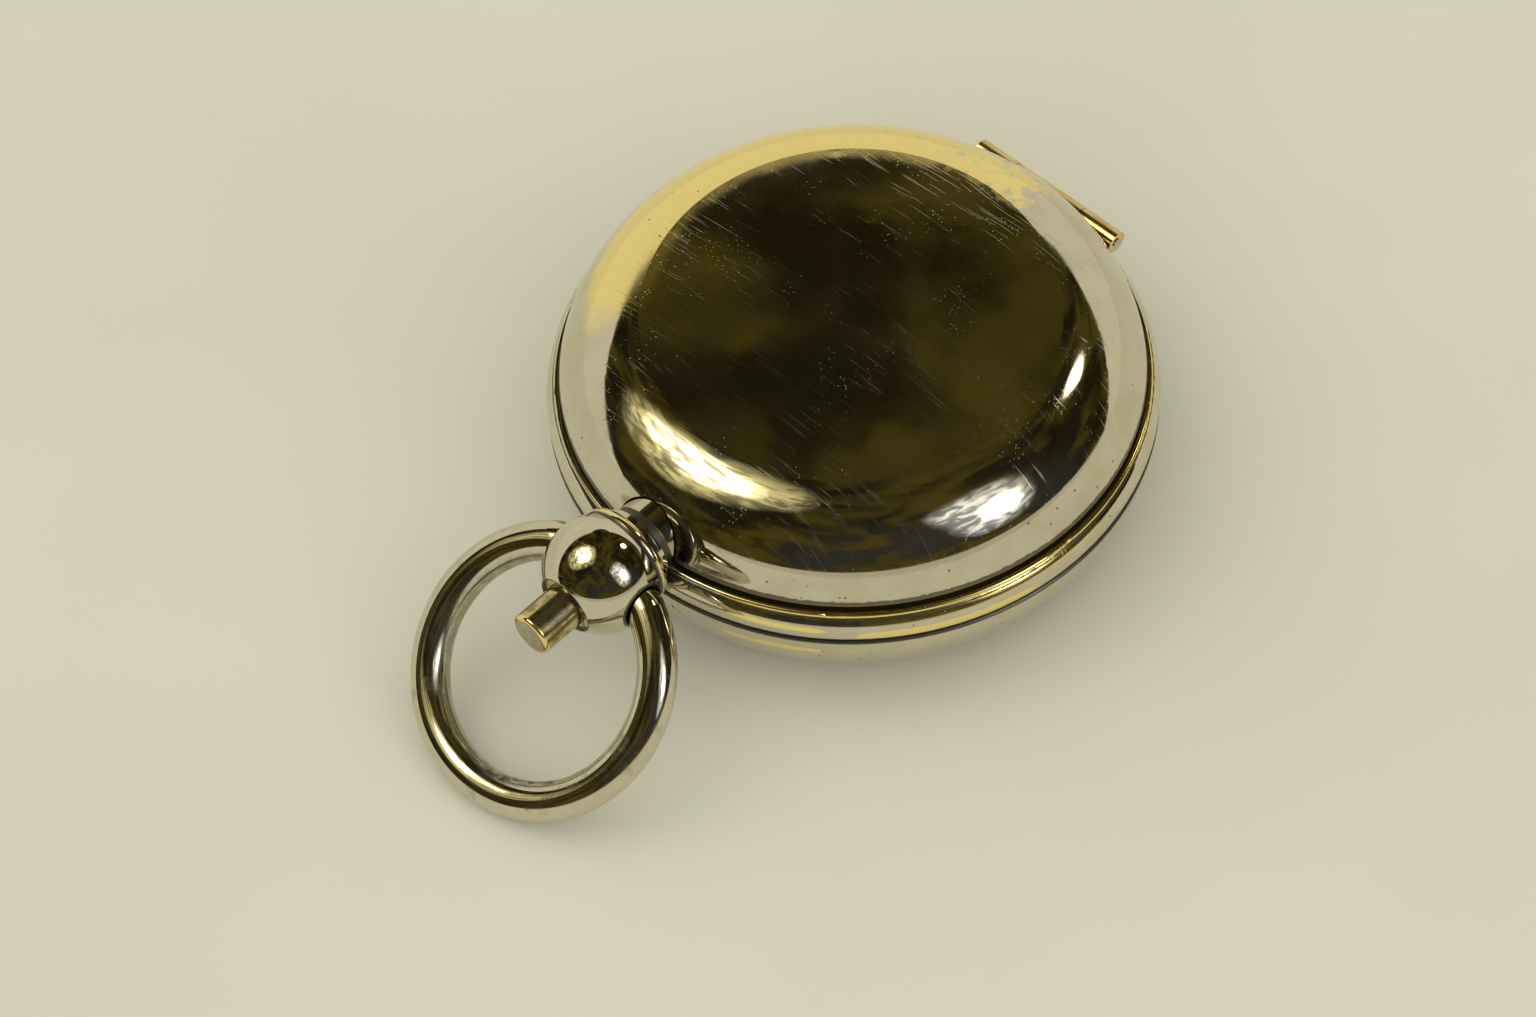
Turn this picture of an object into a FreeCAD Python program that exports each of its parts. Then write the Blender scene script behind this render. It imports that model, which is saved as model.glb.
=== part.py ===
import FreeCAD, Part
import math
import os

# A closed pocket compass in a hunter case: a turned body of band and back, a domed lid
# on a barrel hinge, a ball pendant that carries a swinging bow and a push piece, and
# under the lid a glazed bowl with dial, needle and an arrest that the lid works.
# Millimetres. +Z is up along the case axis, the pendant points along -Y, the hinge is
# at +Y, and the origin is the centre of the flat on which the back stands.

os.makedirs("parts", exist_ok=True)

vector = FreeCAD.Vector

# Back cover, a spun shell
case_radius = 23.1
seat_radius = 12.0
back_dome_radius = 75.2
back_shoulder_radius = 8.0
back_wall = 0.6
back_rim_height = 0.2

# Band between back and lid
band_height = 2.5
band_foot_inset = 0.12
band_bulge_drop = 1.5
band_wall = 2.2
bead_inset = 0.6
bead_wire_radius = 0.22
bead_root_angle = -40.0
ledge_drop = 0.25
spigot_height = 0.8
spigot_clearance = 0.05
seam_chamfer = 0.12

# Lid, a domed shell with a turned rim soldered inside its edge
lid_inset = 1.0
lid_headroom = 5.9
lid_dome_radius = 112.0
lid_shoulder_radius = 7.5
lid_edge_lift = 0.5
lid_wall = 0.6
rim_gap = 0.1
rim_height = 1.15
rim_lip_height = 0.45
rim_wall = 0.18
rim_lip_depth = 0.3
lid_notch_clearance = 0.12
lid_notch_depth = 0.9

# Hinge barrel, along X behind the case
hinge_inset = 1.0
hinge_lift = 0.4
barrel_radius = 0.9
barrel_length = 14.0
middle_knuckle_length = 6.8
knuckle_gap = 0.06
barrel_clearance = 0.12
hinge_pin_radius = 0.4
hinge_pin_proud = 0.08
hinge_running_clearance = 0.03

# Push piece and the spring round its stem
push_radius = 1.71
push_face_proud = 2.88
push_length = 5.05
push_edge = 0.28
push_clearance = 0.04
push_travel = 0.6
stem_radius = 0.8
stem_clearance = 0.07
stem_collar_radius = 1.15
stem_collar_length = 0.55
stem_collar_gap = 0.05
spring_wire_radius = 0.16
spring_side_gap = 0.19
spring_turns = 5
spring_end_gap = 0.02

# Latch plate on the stem's inner end, and its screw
plate_rim_gap = 0.15
plate_thickness = 0.4
plate_half_angle = 17.0
plate_foot_gap = 0.1
plate_head_height = 0.75
nib_rim_gap = 0.07
nib_low = 0.36
nib_height = 0.44
nib_nose_height = 0.15
nib_start_angle = 13.2
latch_screw_radius = 0.35
latch_head_radius = 0.65
latch_head_thickness = 0.18
latch_screw_length = 1.6

# Pendant: hood, neck, flange, collar and ball in one turned piece, along -Y
pendant_lift = 1.15
hood_length = 0.95
hood_gap = 0.35
neck_step = 1.77
neck_edge = 0.15
flange_inset = 0.35
flange_height = 0.35
flange_thickness = 0.45
flange_slope = 0.15
neck_length = 0.1
collar_foot_rise = 0.4
collar_rise = 1.25
collar_lead = 0.48
collar_half_width = 0.4
collar_groove_depth = 0.1
collar_groove = 0.07
ball_lead = 2.0
ball_wall = 2.27
sleeve_wall = 0.45
sleeve_seat_depth = 1.8
sleeve_length = 5.4
mouth_chamfer = 0.15
pendant_seat_clearance = 0.05

# Bow, a bent wire ring that swings in the ball
bow_radius = 9.5
bow_wire_radius = 1.48
bow_bend_radius = 2.0
bow_stub_depth = 0.85
bow_stub_length = 0.12
bow_pivot_radius = 0.75
bow_pivot_floor = 0.42
bow_pivot_clearance = 0.05
bow_end_clearance = 0.07
bow_mouth_clearance = 0.27
bow_floor_gap = 0.05

# Bowl that holds the works, hung by its flange in the band
bowl_side_gap = 1.2
bowl_wall = 0.8
bowl_flange_seat = 0.3
bowl_flange_thickness = 0.4
bowl_flange_clearance = 0.05
bowl_floor_thickness = 0.7

# Bezel, crystal and the spring ring that holds the crystal
bezel_rim_gap = 0.35
bezel_lip = 0.1
bezel_bevel = 0.5
bezel_spigot_clearance = 0.05
bezel_spigot_wall = 0.55
bezel_spigot_depth = 1.2
bezel_relief_clearance = 0.1
bezel_relief_half_angle = 18.6
crystal_inset = 0.25
crystal_land = 0.7
crystal_seat_lift = 0.6
crystal_thickness = 1.0
crystal_dome_rise = 0.22
crystal_ring_width = 0.5
crystal_ring_height = 0.4
crystal_ring_split_angle = 5.0
crystal_fit_clearance = 0.02

# Dial, degree ring, and the pillars and screws that hold them
dial_depth = 4.4
dial_thickness = 0.4
dial_shelf = 0.7
dial_clearance = 0.05
dial_hole_radius = 1.5
degree_ring_width = 3.85
degree_ring_thickness = 0.6
pillar_inset = 3.0
pillar_radius = 0.9
pillar_azimuth = 150.0
dial_screw_radius = 0.35
dial_screw_length = 1.2
dial_head_radius = 0.75
dial_head_thickness = 0.3

# Pivot post with steel point, held by a nut under the bowl
post_radius = 0.9
post_top_depth = 2.9
post_tail_radius = 0.6
post_tail_length = 1.5
nut_flats = 3.0
nut_thickness = 0.9
pivot_radius = 0.28
pivot_tip_gap = 0.02
pivot_cone_length = 0.9
pivot_socket_depth = 1.3

# Needle with hub, jewel and balance slider, lifted against the crystal
needle_end_gap = 0.8
needle_width = 2.1
needle_tip_width = 0.24
needle_boss_radius = 1.55
needle_thickness = 0.3
needle_eye_radius = 1.25
hub_height = 1.9
hub_glass_gap = 0.1
hub_skirt_radius = 1.9
hub_skirt_height = 0.3
hub_bore_radius = 0.7
hub_crown_radius = 0.75
jewel_height = 0.7
jewel_top_wall = 0.35
jewel_cone_radius = 0.45
jewel_cone_depth = 0.4
slider_reach = 8.2
slider_length = 1.6
slider_wall = 0.22
slider_clearance = 0.02

# Lifting sleeve round the post
lift_travel = 0.8
sleeve_slide_clearance = 0.06
lifter_wall = 0.39
lifter_flange_radius = 2.3
lifter_flange_thickness = 0.3
lifter_gap = 0.05
lifter_foot_radius = 2.1
lifter_foot_thickness = 0.3
lifter_dial_gap = 0.3

# Arrest lever under the dial, its bracket, pin and leaf spring, and the plunger
arrest_azimuth = 60.0
plunger_inset = 0.05
plunger_radius = 0.45
plunger_clearance = 0.05
plunger_lid_gap = 0.12
lever_outer_arm = 10.05
lever_drop = 0.63
lever_thickness = 0.35
lever_width = 1.6
lever_end_overrun = 0.6
lever_fork_reach = 1.5
lever_fork_width = 4.2
lever_fork_length = 3.4
lever_fork_clearance = 0.2
lever_contact_gap = 0.05
lever_floor_gap = 0.11
lever_barrel_radius = 0.55
lever_pin_radius = 0.3
lever_pin_clearance = 0.04
lever_slot_clearance = 0.3
bracket_base_thickness = 0.2
bracket_ear_thickness = 0.5
bracket_ear_gap = 0.08
bracket_ear_width = 1.5
bracket_base_length = 3.0
leaf_thickness = 0.15
leaf_width = 1.1
leaf_wall_gap = 0.8
leaf_foot_length = 2.5
leaf_arm_reach = 2.4
leaf_tip_gap = 0.05
leaf_screw_radius = 0.3
leaf_screw_inset = 1.2
leaf_head_radius = 0.5
leaf_head_thickness = 0.2
leaf_screw_length = 0.6

# Lift spring that throws the lid open, and its screw
lift_spring_thickness = 0.3
lift_spring_height = 1.2
lift_spring_depth = 2.4
lift_spring_start_azimuth = 98.0
lift_spring_end_azimuth = 150.0
finger_end_azimuth = 102.0
finger_reach = 0.2
finger_toe_height = 0.43
finger_gap = 0.02
finger_slot_margin_angle = 1.2
lift_screw_azimuth = 143.0
lift_screw_radius = 0.3
lift_screw_length = 1.3
lift_head_radius = 0.55
lift_head_thickness = 0.4

overrun = 2.0
full_turn = 360.0
quarter_turn = 90.0

# Shoulders of the back and the lid
back_shoulder_reach = case_radius - back_shoulder_radius
lid_radius = case_radius - lid_inset
lid_shoulder_reach = lid_radius - lid_shoulder_radius

# Levels, from the flat up to the bead line
back_dome_level = math.sqrt(back_dome_radius ** 2 - seat_radius ** 2)
back_shoulder_level = back_dome_level - math.sqrt(
    (back_dome_radius - back_shoulder_radius) ** 2 - back_shoulder_reach ** 2)
seam_level = back_shoulder_level + back_rim_height
bead_level = seam_level + band_height
ledge_level = bead_level - ledge_drop
pendant_level = bead_level + pendant_lift
hinge_level = bead_level + hinge_lift

# Levels above the bead line
crystal_level = bead_level + crystal_seat_lift
crystal_edge_level = crystal_level + crystal_thickness
bezel_foot_level = ledge_level
bezel_top_level = crystal_edge_level + crystal_ring_height + bezel_lip
rim_foot_level = ledge_level + rim_gap
rim_top_level = rim_foot_level + rim_height
lid_edge_level = bead_level + lid_edge_lift
crown_level = bezel_top_level + lid_headroom
lid_dome_level = crown_level - lid_dome_radius
lid_shoulder_level = lid_dome_level + math.sqrt(
    (lid_dome_radius - lid_shoulder_radius) ** 2 - lid_shoulder_reach ** 2)

# Radii of the band and of the lid's rim, which the rim's top sets inside the lid
band_foot_radius = case_radius - band_foot_inset
band_bore_radius = case_radius - band_wall
bead_radius = case_radius - bead_inset
rim_top_radius = lid_shoulder_reach + math.sqrt(
    (lid_shoulder_radius - lid_wall) ** 2 - (rim_top_level - lid_shoulder_level) ** 2)
rim_undercut_radius = rim_top_radius - rim_wall
rim_lip_radius = rim_undercut_radius - rim_lip_depth

# Radii of the works, from the band and the rim inwards
bowl_flange_radius = band_bore_radius + bowl_flange_seat
bowl_outer_radius = band_bore_radius - bowl_side_gap
bowl_inner_radius = bowl_outer_radius - bowl_wall
bowl_lower_radius = bowl_inner_radius - dial_shelf
bezel_radius = rim_lip_radius - bezel_rim_gap
bezel_spigot_radius = bowl_inner_radius - bezel_spigot_clearance
crystal_radius = bezel_spigot_radius - crystal_inset
bezel_opening_radius = crystal_radius - crystal_land
dial_radius = bowl_inner_radius - dial_clearance
degree_ring_radius = dial_radius - degree_ring_width
pillar_circle_radius = degree_ring_radius - pillar_inset
needle_length = (degree_ring_radius - needle_end_gap) * 2
plate_outer_radius = rim_lip_radius - plate_rim_gap
plate_inner_radius = plate_outer_radius - plate_thickness
bezel_relief_radius = plate_inner_radius - push_travel - bezel_relief_clearance
nib_reach = rim_undercut_radius - nib_rim_gap - plate_outer_radius
lifter_radius = post_radius + sleeve_slide_clearance + lifter_wall
lever_fork_slot_radius = post_radius + lever_fork_clearance

# Pendant's radii and its places along -Y, from the axis of the case outwards
sleeve_radius = push_radius + push_clearance + sleeve_wall
ball_radius = sleeve_radius + ball_wall
neck_radius = ball_radius - neck_step
flange_radius = neck_radius + flange_height
collar_radius = neck_radius + collar_rise
spring_radius = push_radius - spring_wire_radius - spring_side_gap
hinge_reach = case_radius - hinge_inset
neck_inner_reach = plate_outer_radius + stem_collar_length + stem_collar_gap * 2
hood_reach = neck_inner_reach - hood_length
flange_reach = case_radius - flange_inset
neck_end_reach = flange_reach + flange_thickness + flange_slope + neck_length
collar_reach = neck_end_reach + collar_lead
ball_start_reach = collar_reach + collar_half_width + collar_groove
ball_reach = ball_start_reach + ball_lead
sleeve_seat_reach = ball_reach - sleeve_seat_depth
sleeve_end_reach = sleeve_seat_reach + sleeve_length
push_face_reach = ball_reach + ball_radius + push_face_proud
push_back_reach = push_face_reach - push_length
bow_stub_start = ball_radius - bow_stub_depth
bow_bend_reach = bow_stub_start + bow_stub_length
bow_pivot_start = sleeve_radius + bow_pivot_floor
bow_centre_reach = bow_bend_radius + math.sqrt(
    (bow_radius - bow_bend_radius) ** 2 - bow_bend_reach ** 2)

# Places of the arrest along its azimuth
plunger_reach = bowl_outer_radius - plunger_inset
lever_pivot_reach = plunger_reach - lever_outer_arm
leaf_foot_end = bowl_lower_radius - leaf_wall_gap
leaf_foot_start = leaf_foot_end - leaf_foot_length
leaf_tip_reach = lever_pivot_reach + leaf_arm_reach
leaf_screw_reach = leaf_foot_end - leaf_screw_inset

# Levels of the needle, the dial and the arrest
hub_top_level = crystal_level - hub_glass_gap
hub_base_level = hub_top_level - hub_height
needle_level = hub_base_level + hub_skirt_height
jewel_level = hub_top_level - jewel_top_wall - jewel_height
pivot_tip_level = jewel_level + jewel_cone_depth - lift_travel - pivot_tip_gap
dial_level = bead_level - dial_depth
dial_face_level = dial_level + dial_thickness
lifter_foot_level = dial_level - lifter_dial_gap - lifter_foot_thickness
lever_level = lifter_foot_level - lever_drop
lever_open_sine = (lift_travel + lever_contact_gap + lever_thickness / 2 - lever_drop) / (
    lever_pivot_reach - lifter_foot_radius)
floor_level = (lever_level - (lever_pivot_reach + lever_fork_reach) * lever_open_sine
               - lever_thickness / 2 - lever_floor_gap)


def arc_point(centre, radius, angle):
    """Point of a circle in an outline's plane, its angle in radians from outward."""
    return centre[0] + radius * math.cos(angle), centre[1] + radius * math.sin(angle)


def outline_edges(outline, place):
    """Edges of a closed outline. A step that holds two points is an arc through the
    first of them to the second."""
    edges = []
    here = outline[0]
    for step in outline[1:] + [outline[0]]:
        if isinstance(step[0], tuple):
            through, there = step
            edges.append(Part.Arc(place(here), place(through), place(there)).toShape())
        else:
            there = step
            edges.append(Part.makeLine(place(here), place(there)))
        here = there
    return edges


def turned(outline, start=0.0, sweep=full_turn):
    """Solid turned about Z from an outline of radius and height."""
    face = Part.Face(Part.Wire(outline_edges(outline, lambda p: vector(p[0], 0, p[1]))))
    face.rotate(vector(0, 0, 0), vector(0, 0, 1), start)
    return face.revolve(vector(0, 0, 0), vector(0, 0, 1), sweep)


def disc(radius, low, high):
    return Part.makeCylinder(radius, high - low, vector(0, 0, low))


def ring(inner, outer, low, high):
    return disc(outer, low, high).cut(disc(inner, low - overrun, high + overrun))


def arc_block(inner, outer, low, high, start, end):
    """Piece of a ring between two azimuths."""
    return turned([(inner, low), (outer, low), (outer, high), (inner, high)], start, end - start)


def along_pendant(shape):
    """Turns a piece built along Z out along the pendant's axis."""
    placed = shape.copy()
    placed.rotate(vector(0, 0, 0), vector(1, 0, 0), quarter_turn)
    placed.translate(vector(0, 0, pendant_level))
    return placed


def along_x(radius, start, end, y, level):
    return Part.makeCylinder(radius, end - start, vector(start, y, level), vector(1, 0, 0))


def spot(reach, azimuth, level):
    angle = math.radians(azimuth)
    return vector(reach * math.cos(angle), reach * math.sin(angle), level)


def upright(radius, reach, azimuth, low, high):
    return Part.makeCylinder(radius, high - low, spot(reach, azimuth, low))


def box_between(low, high):
    size = high - low
    return Part.makeBox(size.x, size.y, size.z, low)


def at_azimuth(shape, azimuth):
    placed = shape.copy()
    placed.rotate(vector(0, 0, 0), vector(0, 0, 1), azimuth)
    return placed


def dome_and_shoulder(dome_radius, dome_level, shoulder_radius, shoulder_reach,
                      shoulder_level, edge_level):
    """The tangent point, the arc points and the edge of a shell's side, where a wide
    dome about (0, dome_level) runs into a tight shoulder."""
    tangent = math.atan2(shoulder_level - dome_level, shoulder_reach)
    rise = (edge_level - shoulder_level) / shoulder_radius
    edge = math.asin(rise)
    centre = (shoulder_reach, shoulder_level)
    return {
        "dome": arc_point((0, dome_level), dome_radius, tangent),
        "shoulder_middle": arc_point(centre, shoulder_radius, (tangent + edge) / 2),
        "edge": arc_point(centre, shoulder_radius, edge),
    }


def dome_middle(dome_radius, dome_level, first, second):
    """Middle of a dome's arc between two of its points."""
    angle_one = math.atan2(first[1] - dome_level, first[0])
    angle_two = math.atan2(second[1] - dome_level, second[0])
    return arc_point((0, dome_level), dome_radius, (angle_one + angle_two) / 2)


def neck_tool(radius, start, end):
    return along_pendant(disc(radius, start, end))


def pendant_tool(clearance):
    """The neck and flange as one cutter, for what they are set into."""
    neck = neck_radius + clearance
    flange = flange_radius + clearance
    step = flange_reach - clearance
    start = hood_reach - lid_notch_depth
    return along_pendant(turned([
        (0, start),
        (neck, start),
        (neck, step),
        (flange, step),
        (flange, case_radius + overrun),
        (0, case_radius + overrun),
    ]))


def arch_tool(radius, start, end, foot_level):
    """Cutter with a round top about the pendant's axis and straight sides below it."""
    left = vector(-radius, -start, pendant_level)
    right = vector(radius, -start, pendant_level)
    foot_left = vector(-radius, -start, foot_level)
    foot_right = vector(radius, -start, foot_level)
    outline = Part.Wire([
        Part.Arc(left, vector(0, -start, pendant_level + radius), right).toShape(),
        Part.makeLine(right, foot_right),
        Part.makeLine(foot_right, foot_left),
        Part.makeLine(foot_left, left),
    ])
    return Part.Face(outline).extrude(vector(0, start - end, 0))


def barrel_tool(radius, start, end):
    return along_x(radius, start, end, hinge_reach, hinge_level)


def back_side(inset):
    """Side points of the back's shell, inset from the outside by a wall."""
    return dome_and_shoulder(back_dome_radius - inset, back_dome_level,
                             back_shoulder_radius - inset, back_shoulder_reach,
                             back_shoulder_level, back_shoulder_level)


def back_cover():
    outer = back_side(0)
    inner = back_side(back_wall)
    inner_seat = math.sqrt((back_dome_radius - back_wall) ** 2
                           - (back_dome_level - back_wall) ** 2)
    outline = [
        (0, 0),
        (seat_radius, 0),
        (dome_middle(back_dome_radius, back_dome_level, (seat_radius, 0), outer["dome"]),
         outer["dome"]),
        (outer["shoulder_middle"], outer["edge"]),
        (case_radius, seam_level - seam_chamfer),
        (case_radius - seam_chamfer, seam_level),
        (case_radius - back_wall, seam_level),
        inner["edge"],
        (inner["shoulder_middle"], inner["dome"]),
        (dome_middle(back_dome_radius - back_wall, back_dome_level, inner["dome"],
                     (inner_seat, back_wall)), (inner_seat, back_wall)),
        (0, back_wall),
    ]
    return turned(outline).cut(pendant_tool(pendant_seat_clearance))


def case_band():
    bead = (bead_radius - bead_wire_radius, bead_level - bead_wire_radius)
    root = arc_point(bead, bead_wire_radius, math.radians(bead_root_angle))
    spigot_radius = case_radius - back_wall - spigot_clearance
    outline = [
        (band_bore_radius, seam_level - spigot_height),
        (spigot_radius - spigot_clearance, seam_level - spigot_height),
        (spigot_radius, seam_level - spigot_height + spigot_clearance),
        (spigot_radius, seam_level),
        (band_foot_radius - seam_chamfer, seam_level),
        (band_foot_radius, seam_level + seam_chamfer),
        ((case_radius, bead_level - band_bulge_drop), root),
        (arc_point(bead, bead_wire_radius, math.radians(quarter_turn) / 2),
         arc_point(bead, bead_wire_radius, math.pi)),
        (bead_radius - bead_wire_radius * 2, ledge_level),
        (bowl_flange_radius + bowl_flange_clearance, ledge_level),
        (bowl_flange_radius + bowl_flange_clearance, ledge_level - bowl_flange_thickness),
        (band_bore_radius, ledge_level - bowl_flange_thickness),
    ]
    band = turned(outline).cut(pendant_tool(0))
    half = middle_knuckle_length / 2
    band = band.cut(barrel_tool(barrel_radius, -barrel_length / 2, barrel_length / 2))
    band = band.cut(barrel_tool(barrel_radius + barrel_clearance, -half, half))
    return band.cut(lift_screw_shank())


def pendant():
    """Neck, flange, collar and ball. Above the works the neck runs on inwards as a
    hood, which fills the notch of the shut lid."""
    mouth_reach = ball_reach + math.sqrt(ball_radius ** 2 - (sleeve_radius + mouth_chamfer) ** 2)
    ball_start = math.sqrt(ball_radius ** 2 - (ball_reach - ball_start_reach) ** 2)
    flange_end = flange_reach + flange_thickness
    collar_groove_radius = collar_radius - collar_groove_depth
    bore = stem_radius + stem_clearance
    outline = [
        (bore, hood_reach),
        (neck_radius - neck_edge, hood_reach),
        (neck_radius, hood_reach + neck_edge),
        (neck_radius, flange_reach),
        (flange_radius, flange_reach),
        (flange_radius, flange_end),
        (neck_radius, flange_end + flange_slope),
        (neck_radius, neck_end_reach),
        (neck_radius + collar_foot_rise, neck_end_reach),
        ((collar_radius, collar_reach), (collar_groove_radius, collar_reach + collar_half_width)),
        (ball_start, ball_start_reach),
        ((ball_radius, ball_reach), (sleeve_radius + mouth_chamfer, mouth_reach)),
        (sleeve_radius, mouth_reach - mouth_chamfer),
        (sleeve_radius, sleeve_seat_reach),
        (bore, sleeve_seat_reach),
    ]
    piece = along_pendant(turned(outline))
    piece = piece.cut(box_between(
        vector(-neck_radius - overrun, -neck_inner_reach, pendant_level - neck_radius - overrun),
        vector(neck_radius + overrun, -hood_reach + overrun, bezel_top_level + hood_gap)))
    for side in (-1, 1):
        piece = piece.cut(bow_socket(side))
    return piece


def bow_socket(side):
    """The stepped hole in the ball for one end of the bow."""
    eye_start = (bow_pivot_start - bow_end_clearance) * side
    mouth_start = (bow_stub_start - bow_end_clearance) * side
    outside = (ball_radius + overrun) * side
    eye = along_x(bow_pivot_radius + bow_pivot_clearance, min(eye_start, outside),
                  max(eye_start, outside), -ball_reach, pendant_level)
    mouth = along_x(bow_wire_radius + bow_mouth_clearance, min(mouth_start, outside),
                    max(mouth_start, outside), -ball_reach, pendant_level)
    return eye.fuse(mouth)


def pendant_sleeve():
    return along_pendant(ring(push_radius + push_clearance, sleeve_radius,
                              sleeve_seat_reach, sleeve_end_reach))


def bow():
    """Ring of wire whose two ends bend inwards to the line of its pivots. It is bent
    flat, with the pivots on X, then swung down until its far side meets the floor."""
    bend_angle = math.atan2(bow_bend_reach, bow_centre_reach - bow_bend_radius)

    def flat(x, out):
        return vector(x, -out, 0)

    def on_ring(angle):
        return flat(bow_radius * math.sin(angle), bow_centre_reach - bow_radius * math.cos(angle))

    def on_bend(side, angle):
        return flat(side * (bow_bend_reach + bow_bend_radius * math.sin(angle)),
                    bow_bend_radius - bow_bend_radius * math.cos(angle))

    path = [
        Part.makeLine(flat(bow_stub_start, 0), on_bend(1, 0)),
        Part.Arc(on_bend(1, 0), on_bend(1, bend_angle / 2), on_bend(1, bend_angle)).toShape(),
        Part.Arc(on_bend(1, bend_angle), on_ring(math.pi / 2), on_ring(math.pi)).toShape(),
        Part.Arc(on_ring(math.pi), on_ring(-math.pi / 2), on_bend(-1, bend_angle)).toShape(),
        Part.Arc(on_bend(-1, bend_angle), on_bend(-1, bend_angle / 2), on_bend(-1, 0)).toShape(),
        Part.makeLine(on_bend(-1, 0), flat(-bow_stub_start, 0)),
    ]
    section = Part.Wire(Part.makeCircle(bow_wire_radius, flat(bow_stub_start, 0), vector(1, 0, 0)))
    piece = Part.Wire(path).makePipeShell([section], True, False)
    for start in (bow_pivot_start, -bow_stub_start):
        piece = piece.fuse(along_x(bow_pivot_radius, start,
                                   start + bow_stub_start - bow_pivot_start, 0, 0))
    piece = piece.removeSplitter()
    piece.rotate(vector(0, 0, 0), vector(1, 0, 0), bow_tilt())
    piece.translate(vector(0, -ball_reach, pendant_level))
    return piece


def bow_tilt():
    drop = pendant_level - bow_wire_radius - bow_floor_gap
    return math.degrees(math.asin(drop / (bow_centre_reach + bow_radius)))


def push_piece():
    outline = [
        (0, plate_outer_radius),
        (stem_radius, plate_outer_radius),
        (stem_radius, push_back_reach),
        (push_radius, push_back_reach),
        (push_radius, push_face_reach - push_edge),
        (arc_point((push_radius - push_edge, push_face_reach - push_edge), push_edge,
                   math.radians(quarter_turn) / 2),
         (push_radius - push_edge, push_face_reach)),
        (0, push_face_reach),
    ]
    piece = along_pendant(turned(outline))
    return piece.cut(latch_screw())


def stem_collar():
    return along_pendant(ring(stem_radius, stem_collar_radius,
                              plate_outer_radius + stem_collar_gap,
                              neck_inner_reach - stem_collar_gap))


def biarc(start, start_way, end, end_way):
    """Two arcs that join two points and leave both along the given unit tangents."""
    chord = end - start
    both = start_way + end_way
    square = 2 * (1 - start_way.dot(end_way))
    along = chord.dot(both)
    arm = (-along + math.sqrt(along ** 2 + square * chord.dot(chord))) / square
    first_corner = start + start_way * arm
    second_corner = end - end_way * arm
    joint = (first_corner + second_corner) * 0.5
    return [corner_arc(start, first_corner, joint), corner_arc(joint, second_corner, end)]


def corner_arc(start, corner, end):
    """Arc tangent to the two equal arms of a corner."""
    middle = (start + end) * 0.5
    height = (corner - middle).Length
    half_chord = (end - start).Length / 2
    arm = (corner - start).Length
    radius = half_chord * arm / height
    rise = radius - math.sqrt(radius ** 2 - half_chord ** 2)
    return Part.Arc(start, middle + (corner - middle) * (rise / height), end).toShape()


def push_spring():
    """Open coil round the stem, one unbroken wire of quarter-turn biarcs."""
    low = sleeve_seat_reach + spring_wire_radius + spring_end_gap
    high = push_back_reach - spring_wire_radius - spring_end_gap
    pitch = (high - low) / spring_turns
    steps_per_turn = 4
    steps = spring_turns * steps_per_turn

    def point(step):
        angle = math.tau * step / steps_per_turn
        return vector(spring_radius * math.cos(angle), spring_radius * math.sin(angle),
                      low + pitch * step / steps_per_turn)

    def way(step):
        angle = math.tau * step / steps_per_turn
        tangent = vector(-spring_radius * math.sin(angle), spring_radius * math.cos(angle),
                         pitch / math.tau)
        return tangent.normalize()

    edges = []
    for step in range(steps):
        edges += biarc(point(step), way(step), point(step + 1), way(step + 1))
    section = Part.Wire(Part.makeCircle(spring_wire_radius, point(0), way(0)))
    coil = Part.Wire(edges).makePipeShell([section], True, False)
    print("push_spring least gap between turns %.3f mm" % (pitch - spring_wire_radius * 2))
    return along_pendant(coil)


def latch_plate():
    """Curved plate on the stem's end with a nib at each side of the neck."""
    front = -quarter_turn
    low = ledge_level + plate_foot_gap
    high = pendant_level + plate_head_height
    plate = arc_block(plate_inner_radius, plate_outer_radius, low, high,
                      front - plate_half_angle, front + plate_half_angle)
    nib_foot = bead_level + nib_low
    outline = [
        (plate_outer_radius, nib_foot),
        (plate_outer_radius + nib_reach, nib_foot),
        (plate_outer_radius + nib_reach, nib_foot + nib_nose_height),
        (plate_outer_radius, nib_foot + nib_height),
    ]
    width = plate_half_angle - nib_start_angle
    for start in (front - plate_half_angle, front + nib_start_angle):
        plate = plate.fuse(turned(outline, start, width))
    plate = plate.cut(neck_tool(latch_head_radius,
                                plate_inner_radius - overrun,
                                plate_inner_radius + latch_head_thickness))
    return plate.cut(neck_tool(latch_screw_radius, plate_inner_radius,
                               plate_outer_radius + overrun))


def latch_screw():
    head_end = plate_inner_radius + latch_head_thickness
    head = neck_tool(latch_head_radius, plate_inner_radius, head_end)
    shank = neck_tool(latch_screw_radius, head_end, head_end + latch_screw_length)
    return head.fuse(shank)


def lid_side(inset, edge_level):
    return dome_and_shoulder(lid_dome_radius - inset, lid_dome_level,
                             lid_shoulder_radius - inset, lid_shoulder_reach,
                             lid_shoulder_level, edge_level)


def lid_cuts(piece):
    """Notch round the neck and room for the hinge barrel."""
    piece = piece.cut(arch_tool(neck_radius + lid_notch_clearance, hood_reach - lid_notch_depth,
                                case_radius + overrun, ledge_level - overrun))
    half = middle_knuckle_length / 2
    piece = piece.cut(barrel_tool(barrel_radius, -half, half))
    reach = barrel_length / 2 + barrel_clearance
    for start, end in ((-reach, -half), (half, reach)):
        piece = piece.cut(barrel_tool(barrel_radius + barrel_clearance, start, end))
    return piece


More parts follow.
